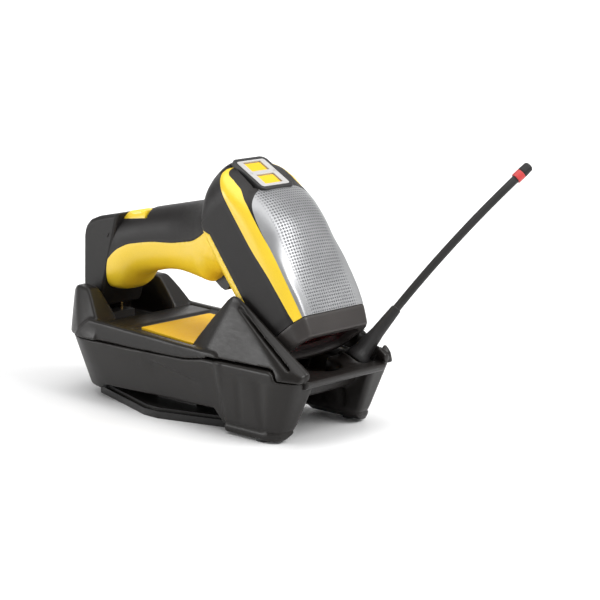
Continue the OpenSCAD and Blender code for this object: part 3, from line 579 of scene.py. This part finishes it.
def joint_shade_liner():
    """A dark inner skin just under the head's pieces, seen only down the joints between them: painted shade
    in those joints.
    """
    rings = []
    for s in np.concatenate([DOME + 3 + 18 * np.linspace(0.02, 1, 12) ** 2, np.linspace(-94, 9, 30)]):
        p = whole_ring(s, 2.9, 96)
        q = p - KEYPAD_AT
        z = q[:, 0] * math.sin(slope) + q[:, 2] * math.cos(slope)
        x = q[:, 0] * math.cos(slope) - q[:, 2] * math.sin(slope)
        sink = np.where((z > -8) & (x < 20) & (x > -20), z + 8, 0)
        p[:, 0] -= sink * math.sin(slope)
        p[:, 2] -= sink * math.cos(slope)
        rings.append(to_head(p))
    return ring_loft("head_joint_shade_liner", rings, M["dark"], "scanner")


joint_shade_liner()

# ---------------------------------------------------------------- handle
grip_bottom = pchip([(-24, -23), (-12, -28), (-2, -31.2), (5, -32), (11, -30.2), (17, -26), (23, -22.8),
        (32, -21.4), (45, -21), (60, -22.6), (72, -26), (85, -30.6), (95, -33.6), (101, -32),
        (108, -29), (118, -28), (132, -20)])
grip_power = pchip([(-24, 0.55), (0, 0.6), (30, 0.82), (132, 0.82)])
grip_width = pchip([(-24, 20.4), (0, 21), (14, 20.6), (30, 19), (48, 18.2), (66, 18.6), (82, 20.6),
        (100, 25), (118, 29.6), (132, 31)])
split_line = pchip([(-9, -34), (-7, -28), (-1.6, -13), (6, -6), (16, -1.2), (28, 1), (45, 0.6), (75, -2.4),
        (94, -2.6), (108, -0.2), (118, 3.4), (132, 8)])
cap_face = pchip([(-46, -13.6), (-20, -7.8), (26, 20.9)])
GRIP_TOP = 24.8


def grip_section(u, n=160):
    w, b = float(grip_width(u)), float(grip_bottom(u))
    c, h = (GRIP_TOP + b) / 2, (GRIP_TOP - b) / 2
    a = np.linspace(-math.pi / 2, math.pi / 2, n)
    q = np.where(a < 0, float(grip_power(u)), 0.82)
    return np.stack([w * np.abs(np.cos(a)) ** q, c + h * np.sign(np.sin(a)) * np.abs(np.sin(a)) ** q], 1)


grip_rows = np.unique(np.concatenate([np.linspace(-12, 24, 31), np.linspace(24, 132, 73)]))
GRIP_COLS = (30, 26)
grip = []
for u in grip_rows:
    row = split_section(grip_section(u), [float(split_line(max(u, -8.9)))], GRIP_COLS)
    line = []
    for y, m in row:
        start = float(cap_face(m)) - 1.4
        if u < start:
            w0, w1 = float(grip_width(u)), float(grip_width(start))
            y = y * w1 / w0
        line.append((max(u, start), y, m))
    grip.append(line)
grip = np.array(grip)
grip_mirror = grip * np.array([1, -1, 1])


def grip_piece(name, groups, material, node):
    n = grip.shape[1]
    pts = np.concatenate([grip.reshape(-1, 3), grip_mirror.reshape(-1, 3)])
    off = grip.shape[0] * n
    faces = []
    for i in range(grip.shape[0] - 1):
        for j in range(n - 1):
            if (0 if j < GRIP_COLS[0] else 1) in groups:
                a, b, c, d = i * n + j, (i + 1) * n + j, (i + 1) * n + j + 1, i * n + j + 1
                faces.append((a, b, c, d))
                faces.append((off + d, off + c, off + b, off + a))
    used = sorted({i for f in faces for i in f})
    remap = {u: k for k, u in enumerate(used)}
    ob = make(name, to_handle(pts[used]), [[remap[i] for i in f] for f in faces], material, "scanner",
            True, (node,))
    outward(ob, Vector(to_handle((55, 0, -2))) * MM)
    solid = ob.modifiers.new("thickness", "SOLIDIFY")
    solid.thickness = 2.4 * MM
    solid.offset = -1
    bevelled(ob, 0.4, 2, 50)
    return ob


grip_front = grip_piece("grip_front", (0,), M["yellow"], "handle_front")
grip_back = grip_piece("grip_back", (1,), M["rubber"], "handle_back")


def carve(ob, cutter):
    """Cuts a shape out of a piece for good, before its edges are rounded."""
    later = [m for m in ob.modifiers if m.type in ("BEVEL", "WEIGHTED_NORMAL")]
    keep = [(m.name, m.type, {k: getattr(m, k) for k in ("width", "segments", "angle_limit") if hasattr(m,
            k)}) for m in later]
    for m in later:
        ob.modifiers.remove(m)
    b = ob.modifiers.new("cut", "BOOLEAN")
    b.operation = "DIFFERENCE"
    b.solver = "EXACT"
    b.use_self = True
    b.object = cutter
    bpy.context.view_layer.update()
    dg = bpy.context.evaluated_depsgraph_get()
    me = bpy.data.meshes.new_from_object(ob.evaluated_get(dg))
    ob.modifiers.clear()
    ob.data = me
    for name, kind, values in keep:
        if kind == "BEVEL":
            bevelled(ob, values["width"] / MM, values["segments"], math.degrees(values["angle_limit"]))
    bpy.data.objects.remove(cutter)


def temp_prism(outline, half):
    """A cutter straight across the width from a side-view outline."""
    return temp_solid([(x, -half, z) for x, z in outline], [(x, half, z) for x, z in outline])


def temp_solid(near, far):
    """A cutter between two matching loops of points in millimetres."""
    n = len(near)
    me = bpy.data.meshes.new("cutter")
    pts = [tuple(float(v) * MM for v in p) for p in list(near) + list(far)]
    me.from_pydata(pts, [], [tuple(range(n)), tuple(reversed(range(n, 2 * n)))]
            + [(i, n + i, n + (i + 1) % n, (i + 1) % n) for i in range(n)])
    ob = bpy.data.objects.new("cutter", me)
    bpy.context.scene.collection.objects.link(ob)
    bm = bmesh.new()
    bm.from_mesh(me)
    bmesh.ops.recalc_face_normals(bm, faces=bm.faces)
    bm.to_mesh(me)
    bm.free()
    return ob


slot_outline = [(9, 92), (9.4, 108), (16, 115), (34, 116), (36.6, 96), (34, 84), (18, 84)]
# opening for the battery latch, and the thumb hollow round it
LATCH_FROM, LATCH_TO, LATCH_HALF, LATCH_LOW = 12.0, 44.8, 15.0, 12.6
arch = [(-LATCH_HALF, LATCH_LOW)] + [(LATCH_HALF * sgnpow(math.cos(a), 0.62), LATCH_LOW + 14
        * abs(math.sin(a)) ** 0.62)
                                     for a in np.radians(np.arange(170, 5, -10))] + [(LATCH_HALF,
                                             LATCH_LOW)]
carve(grip_back, temp_solid([to_handle((LATCH_FROM, y, m)) for y, m in arch],
        [to_handle((LATCH_TO, y, m)) for y, m in arch]))
dish = [(34 + 22 * math.cos(a), GRIP_TOP + 18.6 + 22 * math.sin(a)) for a in np.radians(np.arange(0, 360,
        4))]
carve(grip_back, temp_solid([to_handle((u, -30, m)) for u, m in dish],
        [to_handle((u, 30, m)) for u, m in dish]))
carve(grip_front, temp_prism(slot_outline, 6.7))
carve(under, temp_prism(slot_outline, 6.7))


def cap_mesh():
    """The grip's end cap: a deep rounded block with chamfered sides."""
    outline = [(-106, 61), (-106.6, 80), (-106.4, 113.6), (-104.6, 120), (-99.6, 125), (-90, 128.6),
            (-69, 132.8), (-88.4, 84), (-89.2, 61)]
    c = np.mean(outline, axis=0)
    pts = []
    for x, z in outline:
        for y in (-19.0, 19.0):
            pts.append((x, y, z))
        d = c - np.array((x, z))
        q = np.array((x, z)) + d / np.linalg.norm(d) * 3.0
        for y in (-21.3, 21.3):
            pts.append((q[0], y, q[1]))
    me = bpy.data.meshes.new("end_cap")
    bm = bmesh.new()
    for p in pts:
        bm.verts.new([v * MM for v in p])
    bmesh.ops.convex_hull(bm, input=bm.verts)
    loose = [v for v in bm.verts if not v.link_faces]
    bmesh.ops.delete(bm, geom=loose, context="VERTS")
    bmesh.ops.dissolve_limit(bm, angle_limit=math.radians(2), verts=bm.verts, edges=bm.edges)
    bm.to_mesh(me)
    bm.free()
    ob = bpy.data.objects.new("end_cap", me)
    bpy.context.scene.collection.objects.link(ob)
    me.shade_smooth()
    me.materials.append(M["cap"])
    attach(ob, "scanner")
    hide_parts("battery_cap")
    return bevelled(ob, 1.5, 4, 12)


cap_mesh()

# ------------------------------------------------------ cradle shells, as one smooth distance field each
VOXEL = 0.8
LO, HI = np.array([-114.0, -56.0, -0.5]), np.array([138.0, 56.0, 98.0])
SIZE = np.ceil((HI - LO) / VOXEL).astype(int) + 1
AX = [(LO[i] + np.arange(SIZE[i]) * VOXEL).astype(np.float32) for i in range(3)]


def smin(a, b, k):
    h = np.maximum(k - np.abs(a - b), 0) / k
    return np.minimum(a, b) - h * h * k / 4


def smax(a, b, k):
    return -smin(-a, -b, k)


class Field:
    """A solid as a signed distance on the grid; each shape is worked out only near itself."""

    def __init__(self):
        self.d = np.full(SIZE, 8.0, np.float32)

    def near(self, lo, hi, pad=5.0):
        s = []
        for i in range(3):
            a = int(np.clip(np.floor((lo[i] - pad - LO[i]) / VOXEL), 0, SIZE[i] - 1))
            b = int(np.clip(np.ceil((hi[i] + pad - LO[i]) / VOXEL) + 1, a + 1, SIZE[i]))
            s.append(slice(a, b))
        return tuple(s), (AX[0][s[0]][:, None, None], AX[1][s[1]][None, :, None],
                AX[2][s[2]][None, None, :])

    def add(self, shape, k=1.6):
        f, lo, hi = shape
        w, c = self.near(lo, hi)
        self.d[w] = smin(self.d[w], np.minimum(f(*c), 8.0).astype(np.float32), k)

    def cut(self, shape, k=1.2):
        f, lo, hi = shape
        w, c = self.near(lo, hi)
        self.d[w] = smax(self.d[w], -np.minimum(f(*c), 8.0).astype(np.float32), k)

    def keep(self, f, k=1.2):
        self.d = smax(self.d, f(AX[0][:, None, None], AX[1][None, :, None],
                AX[2][None, None, :]).astype(np.float32), k)


def flipped(points):
    return [(x, -y, z) for x, y, z in points]


def block(points, r=1.2, k=2.4):
    """A solid through corner points, its edges rounded by k."""
    bm = bmesh.new()
    for p in points:
        bm.verts.new(p)
    bmesh.ops.convex_hull(bm, input=bm.verts)
    bm.faces.ensure_lookup_table()
    mid = Vector(np.mean(points, axis=0))
    planes = []
    for f in bm.faces:
        n = f.normal.copy()
        if f.calc_area() < 1e-4 or n.length < 0.5:
            continue
        p = f.calc_center_median()
        if n.dot(p - mid) < 0:
            n = -n
        c = n.dot(p)
        if not any(n.dot(m) > 0.9995 and abs(c - e) < 0.3 for m, e in planes):
            planes.append((n, c))
    tips = []
    for v in bm.verts:
        n = sum((f.normal if f.normal.dot(f.calc_center_median()
                - mid) > 0 else -f.normal for f in v.link_faces), Vector())
        if v.link_faces and n.length > 0.1:
            n.normalize()
            tips.append((n, n.dot(v.co)))
    bm.free()

    q = np.array(points)
    lo, hi = q.min(0) - r, q.max(0) + r

    def f(x, y, z):
        d = None
        for n, c in planes:
            e = (n.x * x + n.y * y + n.z * z) - (c + r)
            d = e if d is None else smax(d, e, k)
        for n, c in tips:
            d = np.maximum(d, (n.x * x + n.y * y + n.z * z) - (c + r))
        for v, a, b in zip((x, y, z), lo, hi):
            d = np.maximum(d, np.maximum(a - v, v - b))
        return d
    return f, lo, hi


def box(lo, hi, k=0.8):
    lo, hi = np.array(lo, float), np.array(hi, float)
    c, h = (lo + hi) / 2, (hi - lo) / 2

    def f(x, y, z):
        return smax(smax(np.abs(x - c[0]) - h[0], np.abs(y - c[1]) - h[1], k), np.abs(z - c[2]) - h[2], k)
    return f, lo, hi


def tube(a, b, r, k=0.8):
    """A round bar from a to b."""
    a, b = np.array(a, float), np.array(b, float)
    n = (b - a) / np.linalg.norm(b - a)
    length = np.linalg.norm(b - a)

    def f(x, y, z):
        t = (x - a[0]) * n[0] + (y - a[1]) * n[1] + (z - a[2]) * n[2]
        q = np.sqrt(np.maximum((x - a[0] - t * n[0]) ** 2 + (y - a[1] - t * n[1]) ** 2
                + (z - a[2] - t * n[2]) ** 2, 0))
        return smax(q - r, np.abs(t - length / 2) - length / 2, k)
    pad = r + 0.5
    return f, np.minimum(a, b) - pad, np.maximum(a, b) + pad


def path_gap(points, width, y_from, y_to, k=0.6):
    """A groove following a path in the side view, cut into the sides between y_from and y_to."""
    pts = np.array(points, float)

    def f(x, y, z):
        d = None
        for (x0, z0), (x1, z1) in zip(pts[:-1], pts[1:]):
            e = np.array([x1 - x0, z1 - z0])
            t = np.clip(((x - x0) * e[0] + (z - z0) * e[1]) / (e @ e), 0, 1)
            q = np.hypot(x - x0 - t * e[0], z - z0 - t * e[1]) - width / 2
            d = q if d is None else np.minimum(d, q)
        return smax(d + 0 * y, y_from - np.abs(y), k)
    lo = np.array([pts[:, 0].min() - width, -y_to, pts[:, 1].min() - width])
    hi = np.array([pts[:, 0].max() + width, y_to, pts[:, 1].max() + width])
    return f, lo, hi


def outline_loft(low, high, z0, z1, k=2.4):
    """The hull between two outlines at two heights."""
    return block([(x, y, z0) for x, y in low] + [(x, y, z1) for x, y in high], 0.0, k)


def both(half):
    return list(half) + [(x, -y) for x, y in reversed(half)]


REAR = -112.0
seam_outline = both([(REAR, 22), (REAR + 6, 34), (REAR + 17, 45), (-80, 53), (-50, 54), (66, 54), (70, 30)])
keel_outline = both([(-92, 14), (-89, 26), (-80, 36), (-60, 42), (0, 46), (66, 47), (68, 30)])
bay_outline = both([(64, 52), (120, 52), (127, 44), (129, 20)])
bay_keel = both([(64, 36), (104, 36), (110, 28), (112, 14)])
pod_top = [(62, 27), (62, 54), (124, 54), (134.6, 49.4), (136, 27)]
pod_knee = [(66.4, 31.5), (66.4, 49.8), (108, 49.8), (116.4, 45.6), (118, 31.5)]
pod_foot = [(67, 39), (67, 49), (106, 49), (113.6, 44.4), (114.6, 39)]
belly_line = [(-120, 60), (-113, 26), (-97, 11.6), (-87, 7.3), (-66, 7.3), (-58, 11.5), (0, 14), (56, 15.5),
        (64, 6), (140, 0.8)]
seam_line = pchip([(-120, 43.6), (-86, 44.1), (-22, 45.3), (10, 46.1), (30, 46.8), (44, 48.8), (52, 50.4),
        (80, 50.9), (110, 51.3), (113.5, 50.0), (116.5, 45.4), (119, 44.9), (140, 44.9)])
groove_path = [(53, 50.7), (80, 51.2), (110, 51.5), (113, 50.6), (116.6, 45.2)]


def belly_field(x, y, z):
    """Above the stepped line of the cradle's underside."""
    d = None
    pts = np.array(belly_line)
    zz = np.interp(x, pts[:, 0], pts[:, 1]).astype(np.float32)
    slope_at = np.interp(x, (pts[:-1, 0] + pts[1:, 0]) / 2, np.diff(pts[:, 1]) / np.diff(pts[:, 0]))
    return (zz - z) / np.sqrt(1 + np.minimum(slope_at ** 2, 9)) + 0 * y


def bell(x, centre, half):
    return np.exp(-((x - centre) / half) ** 2)


def lower_shell():
    g = Field()
    f, lo, hi = outline_loft(keel_outline, seam_outline, 0, 50, 2.6)

    def hull(x, y, z):
        return smax(f(x, y, z), belly_field(x, y, z), 1.6)
    g.add((hull, lo, hi), 0.5)
    g.add(outline_loft(bay_keel, bay_outline, 27, 44.6, 3.0), 3.0)
    for side in (1, -1):
        tops = [(x, side * y) for x, y in pod_top]
        knees = [(x, side * y) for x, y in pod_knee]
        feet = [(x, side * y) for x, y in pod_foot]
        g.add(outline_loft(knees, tops, 7, 51.5, 4.2), 3.0)
        g.add(outline_loft(feet, knees, 1.4, 7.6, 1.6), 1.0)
    # sole line round the pods
    for side in (1, -1):
        ring = block([(x * 1.0, side * y, z) for x, y in pod_knee for z in (6.3, 7.1)], 0.0, 0.5)
        inner = block([(90 + (x - 90) * 0.955, side * (40.5 + (y - 40.5) * 0.9), z) for x,
                y in pod_knee for z in (6.0, 7.4)], 0.0, 0.5)

        def sole(x, y, z, a=ring[0], b=inner[0]):
            return np.maximum(a(x, y, z) - 1.5, -b(x, y, z))
        g.cut((lambda x, y, z, s=sole: np.maximum(s(x, y, z), np.abs(z - 6.7) - 0.35), ring[1] - 2, ring[2]
               + 2), 0.4)

    def relief(x, y, z):
        """Shallow swoosh and flutes drawn into the sides."""
        swoosh = np.interp(x, [-12, -3, 12, 27, 39, 47], [41, 39.5, 37, 34.9, 32.6, 30.6])
        strength = np.interp(x, [-12, 0, 36, 47], [0, 1, 1, 0])
        a = 0.75 * strength * np.clip(1.2 - np.abs(z - swoosh) / 1.5, 0, 1)
        step = 0.5 * strength * np.clip((swoosh - z) / 2.0, 0, 1) * np.clip((z - swoosh + 12) / 10, 0, 1)
        flute = 0.95 * bell(x, 103 - (z - 9) * 0.02, 2.4 + 3.6
                * np.clip((z - 9) / 32, 0, 1)) * np.clip((z - 8) / 6, 0, 1) * np.clip((46 - z) / 5, 0, 1)
        flute2 = 0.55 * bell(x, 83, 3.2) * np.clip((z - 8) / 6, 0, 1) * np.clip((44 - z) / 8, 0, 1)
        return (a + step + (flute + flute2)) * (np.abs(y) > 30)
    g.d = g.d + relief(AX[0][:, None, None], AX[1][None, :, None], AX[2][None, None, :]).astype(np.float32)
    g.keep(lambda x, y, z: z - (seam_line(x) - 0.22) + 0 * y, 0.5)
    # the arch between the two front legs
    g.cut(block([(113, -24, -2), (145, -24, -2), (113, 24, -2), (145, 24, -2), (113, -24, 29),
            (145, -24, 29), (113, 24, 29), (145, 24, 29), (113, -21, 37), (145, -21, 37),
            (113, 21, 37), (145, 21, 37)], 0.0, 3.0), 2.0)
    g.cut((well_space, np.array([64, -40, 30]), np.array([140, 40, 98])), 1.0)
    for x, y in ((98, 44), (98, -44)):
        g.cut(tube((x, y, -2), (x, y, 2.8), 4.6), 0.4)
    for x, y in ((-58, 33), (-58, -33), (54, 36), (54, -36)):
        g.cut(tube((x, y, -2), (x, y, 21), 3.1), 0.4)
    sockets(g)
    return g


def sockets(g):
    g.cut(tube((-36, 40, 34), (-36, 60, 34), 4.9), 0.8)
    g.cut(box((-25, 40, 29.5), (-11, 60, 39.5)), 0.8)


def well_space(x, y, z):
    """Room for the scanner's nose."""
    half = np.interp(z, [32, 43], [33, 38])
    a = smax(smax(np.abs(y) - half, 68.4 - x, 2.0), x - (98.4 + (z - 31) * 10 / 79), 6.0)
    a = smax(a, 32.2 - z, 1.5)
    reach = np.interp(z, [34, 45], [98, 108])
    r = np.hypot(np.maximum(np.maximum(80 - x, x - reach), 0), y) - 15
    b = smax(r, 34 - z, 1.5)
    c = smax(smax(np.abs(y) - 38, 64 - x, 1.0), 58 - z, 1.0)
    rim = smax(np.hypot(np.maximum(np.abs(x - 94) - 14, 0), y) - (13 + (z - 40) * 0.5), 40 - z, 1.0)
    return smin(smin(smin(a, b, 3.0), c, 2.0), rim, 2.0)


LOW = 46.0
rail = [(-84, 49, LOW), (66, 52.6, LOW), (66, 44, LOW), (-84, 42, LOW), (-70, 49.5, 58), (60, 51.6, 54),
        (60, 46, 54), (-70, 45, 58)]
rear_cheek = [(-110.6, 20, LOW), (-105, 33, LOW), (-94, 44, LOW), (-76, 51.6, LOW), (-62, 51.6, LOW),
        (-108, 20, 70), (-102, 33, 74), (-94, 38, 78.4), (-81, 40, 77.8), (-76, 42, 73.6),
        (-65, 47, 60), (-62, 48, 56), (-104, 28.4, LOW), (-62, 28.4, LOW), (-96, 29.6, 78.4),
        (-81, 31, 77.8), (-76, 31, 73.6), (-64, 30, 60)]
rear_wall = [(x, y, z) for y in (-22, 22) for x, z in ((-110.6, LOW), (-109, 68), (-108.4, LOW),
        (-107.8, 68))]
front_cheek = [(46, 52, LOW), (118, 52, LOW), (132.6, 46.6, LOW), (50, 51, 54), (71, 42, 89),
        (74, 41.6, 88.4), (134, 45, 49), (121, 51, 49.6), (30, 42.6, 53.4), (132.6, 39.6, LOW),
        (134, 39.6, 50), (66, 40.2, 92.8), (71, 40, 92.8)]
antenna_cheek = [(112, 43, LOW), (132.6, 43, LOW), (133, 47.6, LOW), (118, 51.6, LOW), (112, 43, 66),
        (114, 47, 62), (124, 43.4, 62), (125, 47, 59.6), (132.4, 43.6, 54.4), (133, 46.6, 53)]
ANT = np.array([113.9, 30.3, 45.0])
ANT_DIR = np.array([0.2723, 0.6132, 0.7415])


def deck_z(x):
    return 54.4 - math.tan(math.radians(2.2)) * x


def upper_shell():
    g = Field()
    for flip in (list, flipped):
        g.add(block(flip(rail), 1.2, 2.0), 0.5)
        g.add(block(flip(rear_cheek), 1.2, 1.6), 1.5)
        g.add(block(flip(front_cheek), 1.2, 1.8), 2.0)
        # crest that runs down the inner side of the front cheek
        g.add(block(flip([(67, 38.6, 93.4), (71, 38.6, 93.4), (134.4, 38.6, 51.4), (134.4, 38.6, 48),
                (67, 38.6, 80), (67, 40.6, 93.4), (71, 40.6, 93.4), (134.4, 41.2, 51.4),
                (134.4, 41.2, 47), (67, 40.6, 80)]), 0.6, 1.0), 1.2)
    g.add(block(antenna_cheek, 1.2, 3.0), 2.0)
    g.add(block(rear_wall, 0.6, 1.2), 1.5)
    g.add(block([(98, -44, 40.6), (98, 44, 40.6), (131.6, -47, 40.6), (131.6, 47, 40.6), (98, -44, 44.4),
            (98, 44, 44.4), (134, -47, 44.4), (134, 47, 44.4)], 1.2, 2.4), 1.5)
    g.add(block([(x, y, z) for y in (-46, 46) for x, z in ((-62, deck_z(-62) - 2.6), (66, deck_z(66) - 2.6),
            (-62, deck_z(-62) - 0.1), (66, deck_z(66) - 0.1))], 0.0, 0.8), 1.0)
    g.add(block([(x, s * y, z) for s in (-1, 1) for x, y in ((-106, 30), (-60, 44)) for z in (47, 50)], 0.0,
            0.8), 0.8)
    # raised border behind and beside the label plate
    g.add(block([(x, y, z) for y in (-43, 43) for x, z in ((-62.5, 48), (-36, 53), (-61.6, 57),
            (-58.5, 57.6), (-37.4, 56.9), (-36.4, 56.2))], 0.3, 1.2), 1.0)
    for y in (-1, 1):
        g.add(block([(x, y * v, z) for x, v, z in ((-38, 35.4, 55.2), (-38, 44, 57.0), (40, 39.2, 52.6),
                (40, 46, 54.2), (56, 38, 51.4), (60, 46, 53), (-38, 44, 50), (60, 46, 48))], 0.3, 1.2), 1.0)
    g.add(block([(67, -39, 29), (67, 39, 29), (112, -30, 29), (112, 30, 29), (67, -39, 52), (67, 39, 52),
            (124, -39, 44), (124, 39, 44)], 1.2, 3.0), 2.0)
    g.add(tube(ANT - ANT_DIR * 6, ANT + ANT_DIR * 0.4, 10.6), 3.0)
    for y in (-1, 1):
        g.cut(path_gap(groove_path, 1.9, 47.5, 56), 0.6)
        # facet edge above the groove, and the shadow band beside the crest
        g.cut(path_gap([(75, 87.2), (100, 69.8), (124, 53.4)], 1.5, 41.2, 45, 0.5), 0.5)
    g.cut((well_space, np.array([64, -40, 30]), np.array([140, 40, 98])), 1.4)
    g.cut(box((-107.2, -27, 50), (-62.2, 27, 120), 3.0), 1.2)
    # sloping flares of the pocket's mouth
    g.cut(block([(-104, -29.6, 84), (-104, 29.6, 84), (-62, -29.6, 84), (-62, 29.6, 84), (-104, -26.6, 72),
            (-104, 26.6, 72), (-62, -26.6, 66), (-62, 26.6, 66)], 0.0, 1.0), 1.0)
    outline = [(-31, 33.6), (-30, 34.6), (38, 38.4), (50, 31)]
    g.cut(block([(x, s * y, deck_z(x) + h) for x, y in outline for s in (1, -1) for h in (-0.7, 14)], 0.25,
            0.6), 0.5)
    g.cut(tube(ANT - ANT_DIR * 14, ANT + ANT_DIR * 16, 3.4), 0.3)
    g.cut(tube(ANT, ANT + ANT_DIR * 60, 9.6), 1.2)
    g.cut(box((-103.3, -14.3, 42), (-88.7, 14.3, 54), 0.4), 0.3)
    for x in (38, 44):
        g.cut(tube((x, 26, 46), (x, 26, 60), 1.75), 0.2)
    sockets(g)
    g.keep(lambda x, y, z: (seam_line(x) + 0.22) * (x < 66) + np.where(x < 66, 0,
            np.where(np.abs(y) > 39.5, seam_line(x) + 0.22, -50)) - z, 0.5)
    return g


def mesh_field(g, name, node, material):
    grid3 = openvdb.FloatGrid(8.0)
    grid3.copyFromArray(np.ascontiguousarray(g.d))
    pts, tris, quads = grid3.convertToPolygons(0.0, 0.0)
    pts = pts * VOXEL + LO
    faces = [tuple(q) for q in quads.tolist()] + [tuple(t) for t in tris.tolist()]
    me = bpy.data.meshes.new(name)
    me.from_pydata((pts * MM).tolist(), [], faces)
    bm = bmesh.new()
    bm.from_mesh(me)
    seen, keep = set(), []
    bm.verts.ensure_lookup_table()
    groups = []
    for v in bm.verts:
        if v.index in seen:
            continue
        stack, part = [v], []
        seen.add(v.index)
        while stack:
            w = stack.pop()
            part.append(w)
            for e in w.link_edges:
                o = e.other_vert(w)
                if o.index not in seen:
                    seen.add(o.index)
                    stack.append(o)
        groups.append(part)
    main = max(groups, key=len)
    crumbs = [v for part in groups if part is not main for v in part]
    bmesh.ops.delete(bm, geom=crumbs, context="VERTS")
    bmesh.ops.recalc_face_normals(bm, faces=bm.faces)
    bm.to_mesh(me)
    bm.free()
    me.shade_smooth()
    me.materials.append(material)
    ob = bpy.data.objects.new(name, me)
    bpy.context.scene.collection.objects.link(ob)
    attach(ob, "cradle")
    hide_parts(node)
    s = ob.modifiers.new("even", "SMOOTH")
    s.factor = 0.5
    s.iterations = 2
    return ob


mesh_field(lower_shell(), "base_shell", "cradle_lower_shell", M["cradle"])
mesh_field(upper_shell(), "dock_shell", "cradle_upper_shell", M["cradle"])

# ---------------------------------------------------------------- CAD pieces shown as they are
for node, key, width, segs in (
        ("label_plate", "label", 0.35, 3), ("status_lights", "light", 0.25, 2),
        ("cradle_board", "board", 0, 1), ("radio_module", "tin", 0.2, 1),
        ("antenna_socket", "gold", 0.2, 2), ("contact_block", "black", 0.5, 3),
        ("contact_pin_left", "gold", 0, 1), ("contact_pin_right", "gold", 0, 1),
        ("mounting_bracket", "bracket", 0.6, 3), ("bracket_screws", "steel", 0.15, 1),
        ("cradle_screws", "steel", 0.15, 1), ("rubber_feet", "foot", 0.5, 3),
        ("power_jack", "black", 0.3, 2), ("data_port", "tin", 0.25, 2), ("antenna_boot", "antenna", 0.3, 2),
        ("antenna_whip", "antenna", 0, 1), ("antenna_band", "red", 0.4, 3),
        ("antenna_tip", "antenna", 0.4, 3), ("window_seal", "dark", 0.2, 1),
        ("scan_window", "window", 0.2, 2), ("keypad_rim", "black", 0.7, 4),
        ("keypad_frame", "frame", 0.4, 3), ("keypad_screws", "steel", 0.15, 2), ("key_rear", "key", 0.7, 4),
        ("key_front", "key", 0.7, 4), ("battery_pack", "battery", 0.4, 2),
        ("battery_contacts", "gold", 0.1, 1), ("charge_pads", "gold", 0.3, 2),
        ("battery_latch", "yellow", 0.5, 3), ("trigger", "black", 0.9, 4), ("trigger_pin", "steel", 0, 1),
        ("trigger_spring", "steel", 0, 1), ("trigger_switch", "black", 0.2, 1),
        ("engine_frame", "black", 0.3, 2), ("engine_lens", "lens", 0.2, 2), ("main_board", "board", 0, 1),
        ("link_board", "board", 0, 1), ("beeper", "black", 0.3, 2), ("housing_screws", "steel", 0.15, 1)):
    carry(node, M[key], width, segs)

# ---------------------------------------------------------------- stage
def floor(rows_along=40, cells_across=12, half=3.0, flat_half=2.5, sweep_r=1.2):
    me = bpy.data.meshes.new("floor")
    bm = bmesh.new()
    # the floor sweeps up into a backdrop behind the set, as the camera sees it
    back = Vector((-0.7071, 0.7071, 0))
    side = Vector((0.7071, 0.7071, 0))
    rows = []
    for i in range(rows_along + 1):
        t = i / rows_along
        if t < 0.5:
            d, z = -flat_half + 2 * flat_half * (t / 0.5) * 0.8, 0.0
        else:
            a = (t - 0.5) / 0.5 * math.pi / 2
            d, z = 1.5 + sweep_r * math.sin(a), sweep_r * (1 - math.cos(a))
        rows.append([bm.verts.new(back * d + side * s + Vector((0, 0, z))) for s in np.linspace(-half, half,
                cells_across + 1)])
    for a, b in zip(rows[:-1], rows[1:]):
        for i in range(cells_across):
            bm.faces.new((a[i], a[i + 1], b[i + 1], b[i]))
    bmesh.ops.recalc_face_normals(bm, faces=bm.faces)
    bm.to_mesh(me)
    bm.free()
    me.shade_smooth()
    ob = bpy.data.objects.new("floor", me)
    bpy.context.scene.collection.objects.link(ob)
    t = Tree("studio_floor")
    base = t.mix(t.span(t.noise(6, 3), 0.3, 0.7, 0, 1), (0.90, 0.90, 0.90), (0.94, 0.94, 0.94))
    t.set(color=base, rough=t.span(t.noise(9, 2), 0.3, 0.7, 0.6, 0.7),
          normal=t.bump(t.noise(500, 2), 0.05, 0.0002))
    me.materials.append(t.mat)
    return ob


floor()


def lamp(name, at, aim, size, power_w, color=(1, 1, 1)):
    data = bpy.data.lights.new(name, "AREA")
    data.shape = "RECTANGLE"
    data.size, data.size_y = size
    data.energy = power_w
    data.color = color
    ob = bpy.data.objects.new(name, data)
    bpy.context.scene.collection.objects.link(ob)
    ob.location = at
    ob.rotation_euler = (Vector(aim) - Vector(at)).to_track_quat("-Z", "Y").to_euler()
    return ob


lamp("overhead", (0.1, -0.1, 1.5), (0, 0, 0.05), (1.5, 1.5), 15)
lamp("key_left", (-0.95, -1.15, 0.3), (0.05, 0, 0.08), (0.62, 0.3), 7)
lamp("key_right", (1.0, 0.3, 0.95), (0, 0, 0.08), (0.8, 0.7), 13)
lamp("backdrop", (-0.55, 0.55, 1.35), (-1.7, 1.7, 0.35), (2.4, 1.0), 34)
world = bpy.data.worlds.new("studio")
world.use_nodes = True
world.node_tree.nodes["Background"].inputs[0].default_value = (1, 1, 1, 1)
world.node_tree.nodes["Background"].inputs[1].default_value = 0.42
bpy.context.scene.world = world
bpy.context.scene.view_settings.view_transform = "Standard"

cam_data = bpy.data.cameras.new("camera")
cam_data.lens = 126
cam_data.sensor_width = 36
cam_data.shift_x = 0.157
cam_data.shift_y = 0.0595
cam_data.clip_start = 0.05
camera = bpy.data.objects.new("camera", cam_data)
bpy.context.scene.collection.objects.link(camera)
camera.location = (1.0355, -1.0355, 0.3747)
camera.rotation_euler = Vector((-0.690, 0.690, -0.2164)).to_track_quat("-Z", "Y").to_euler()
bpy.context.scene.camera = camera
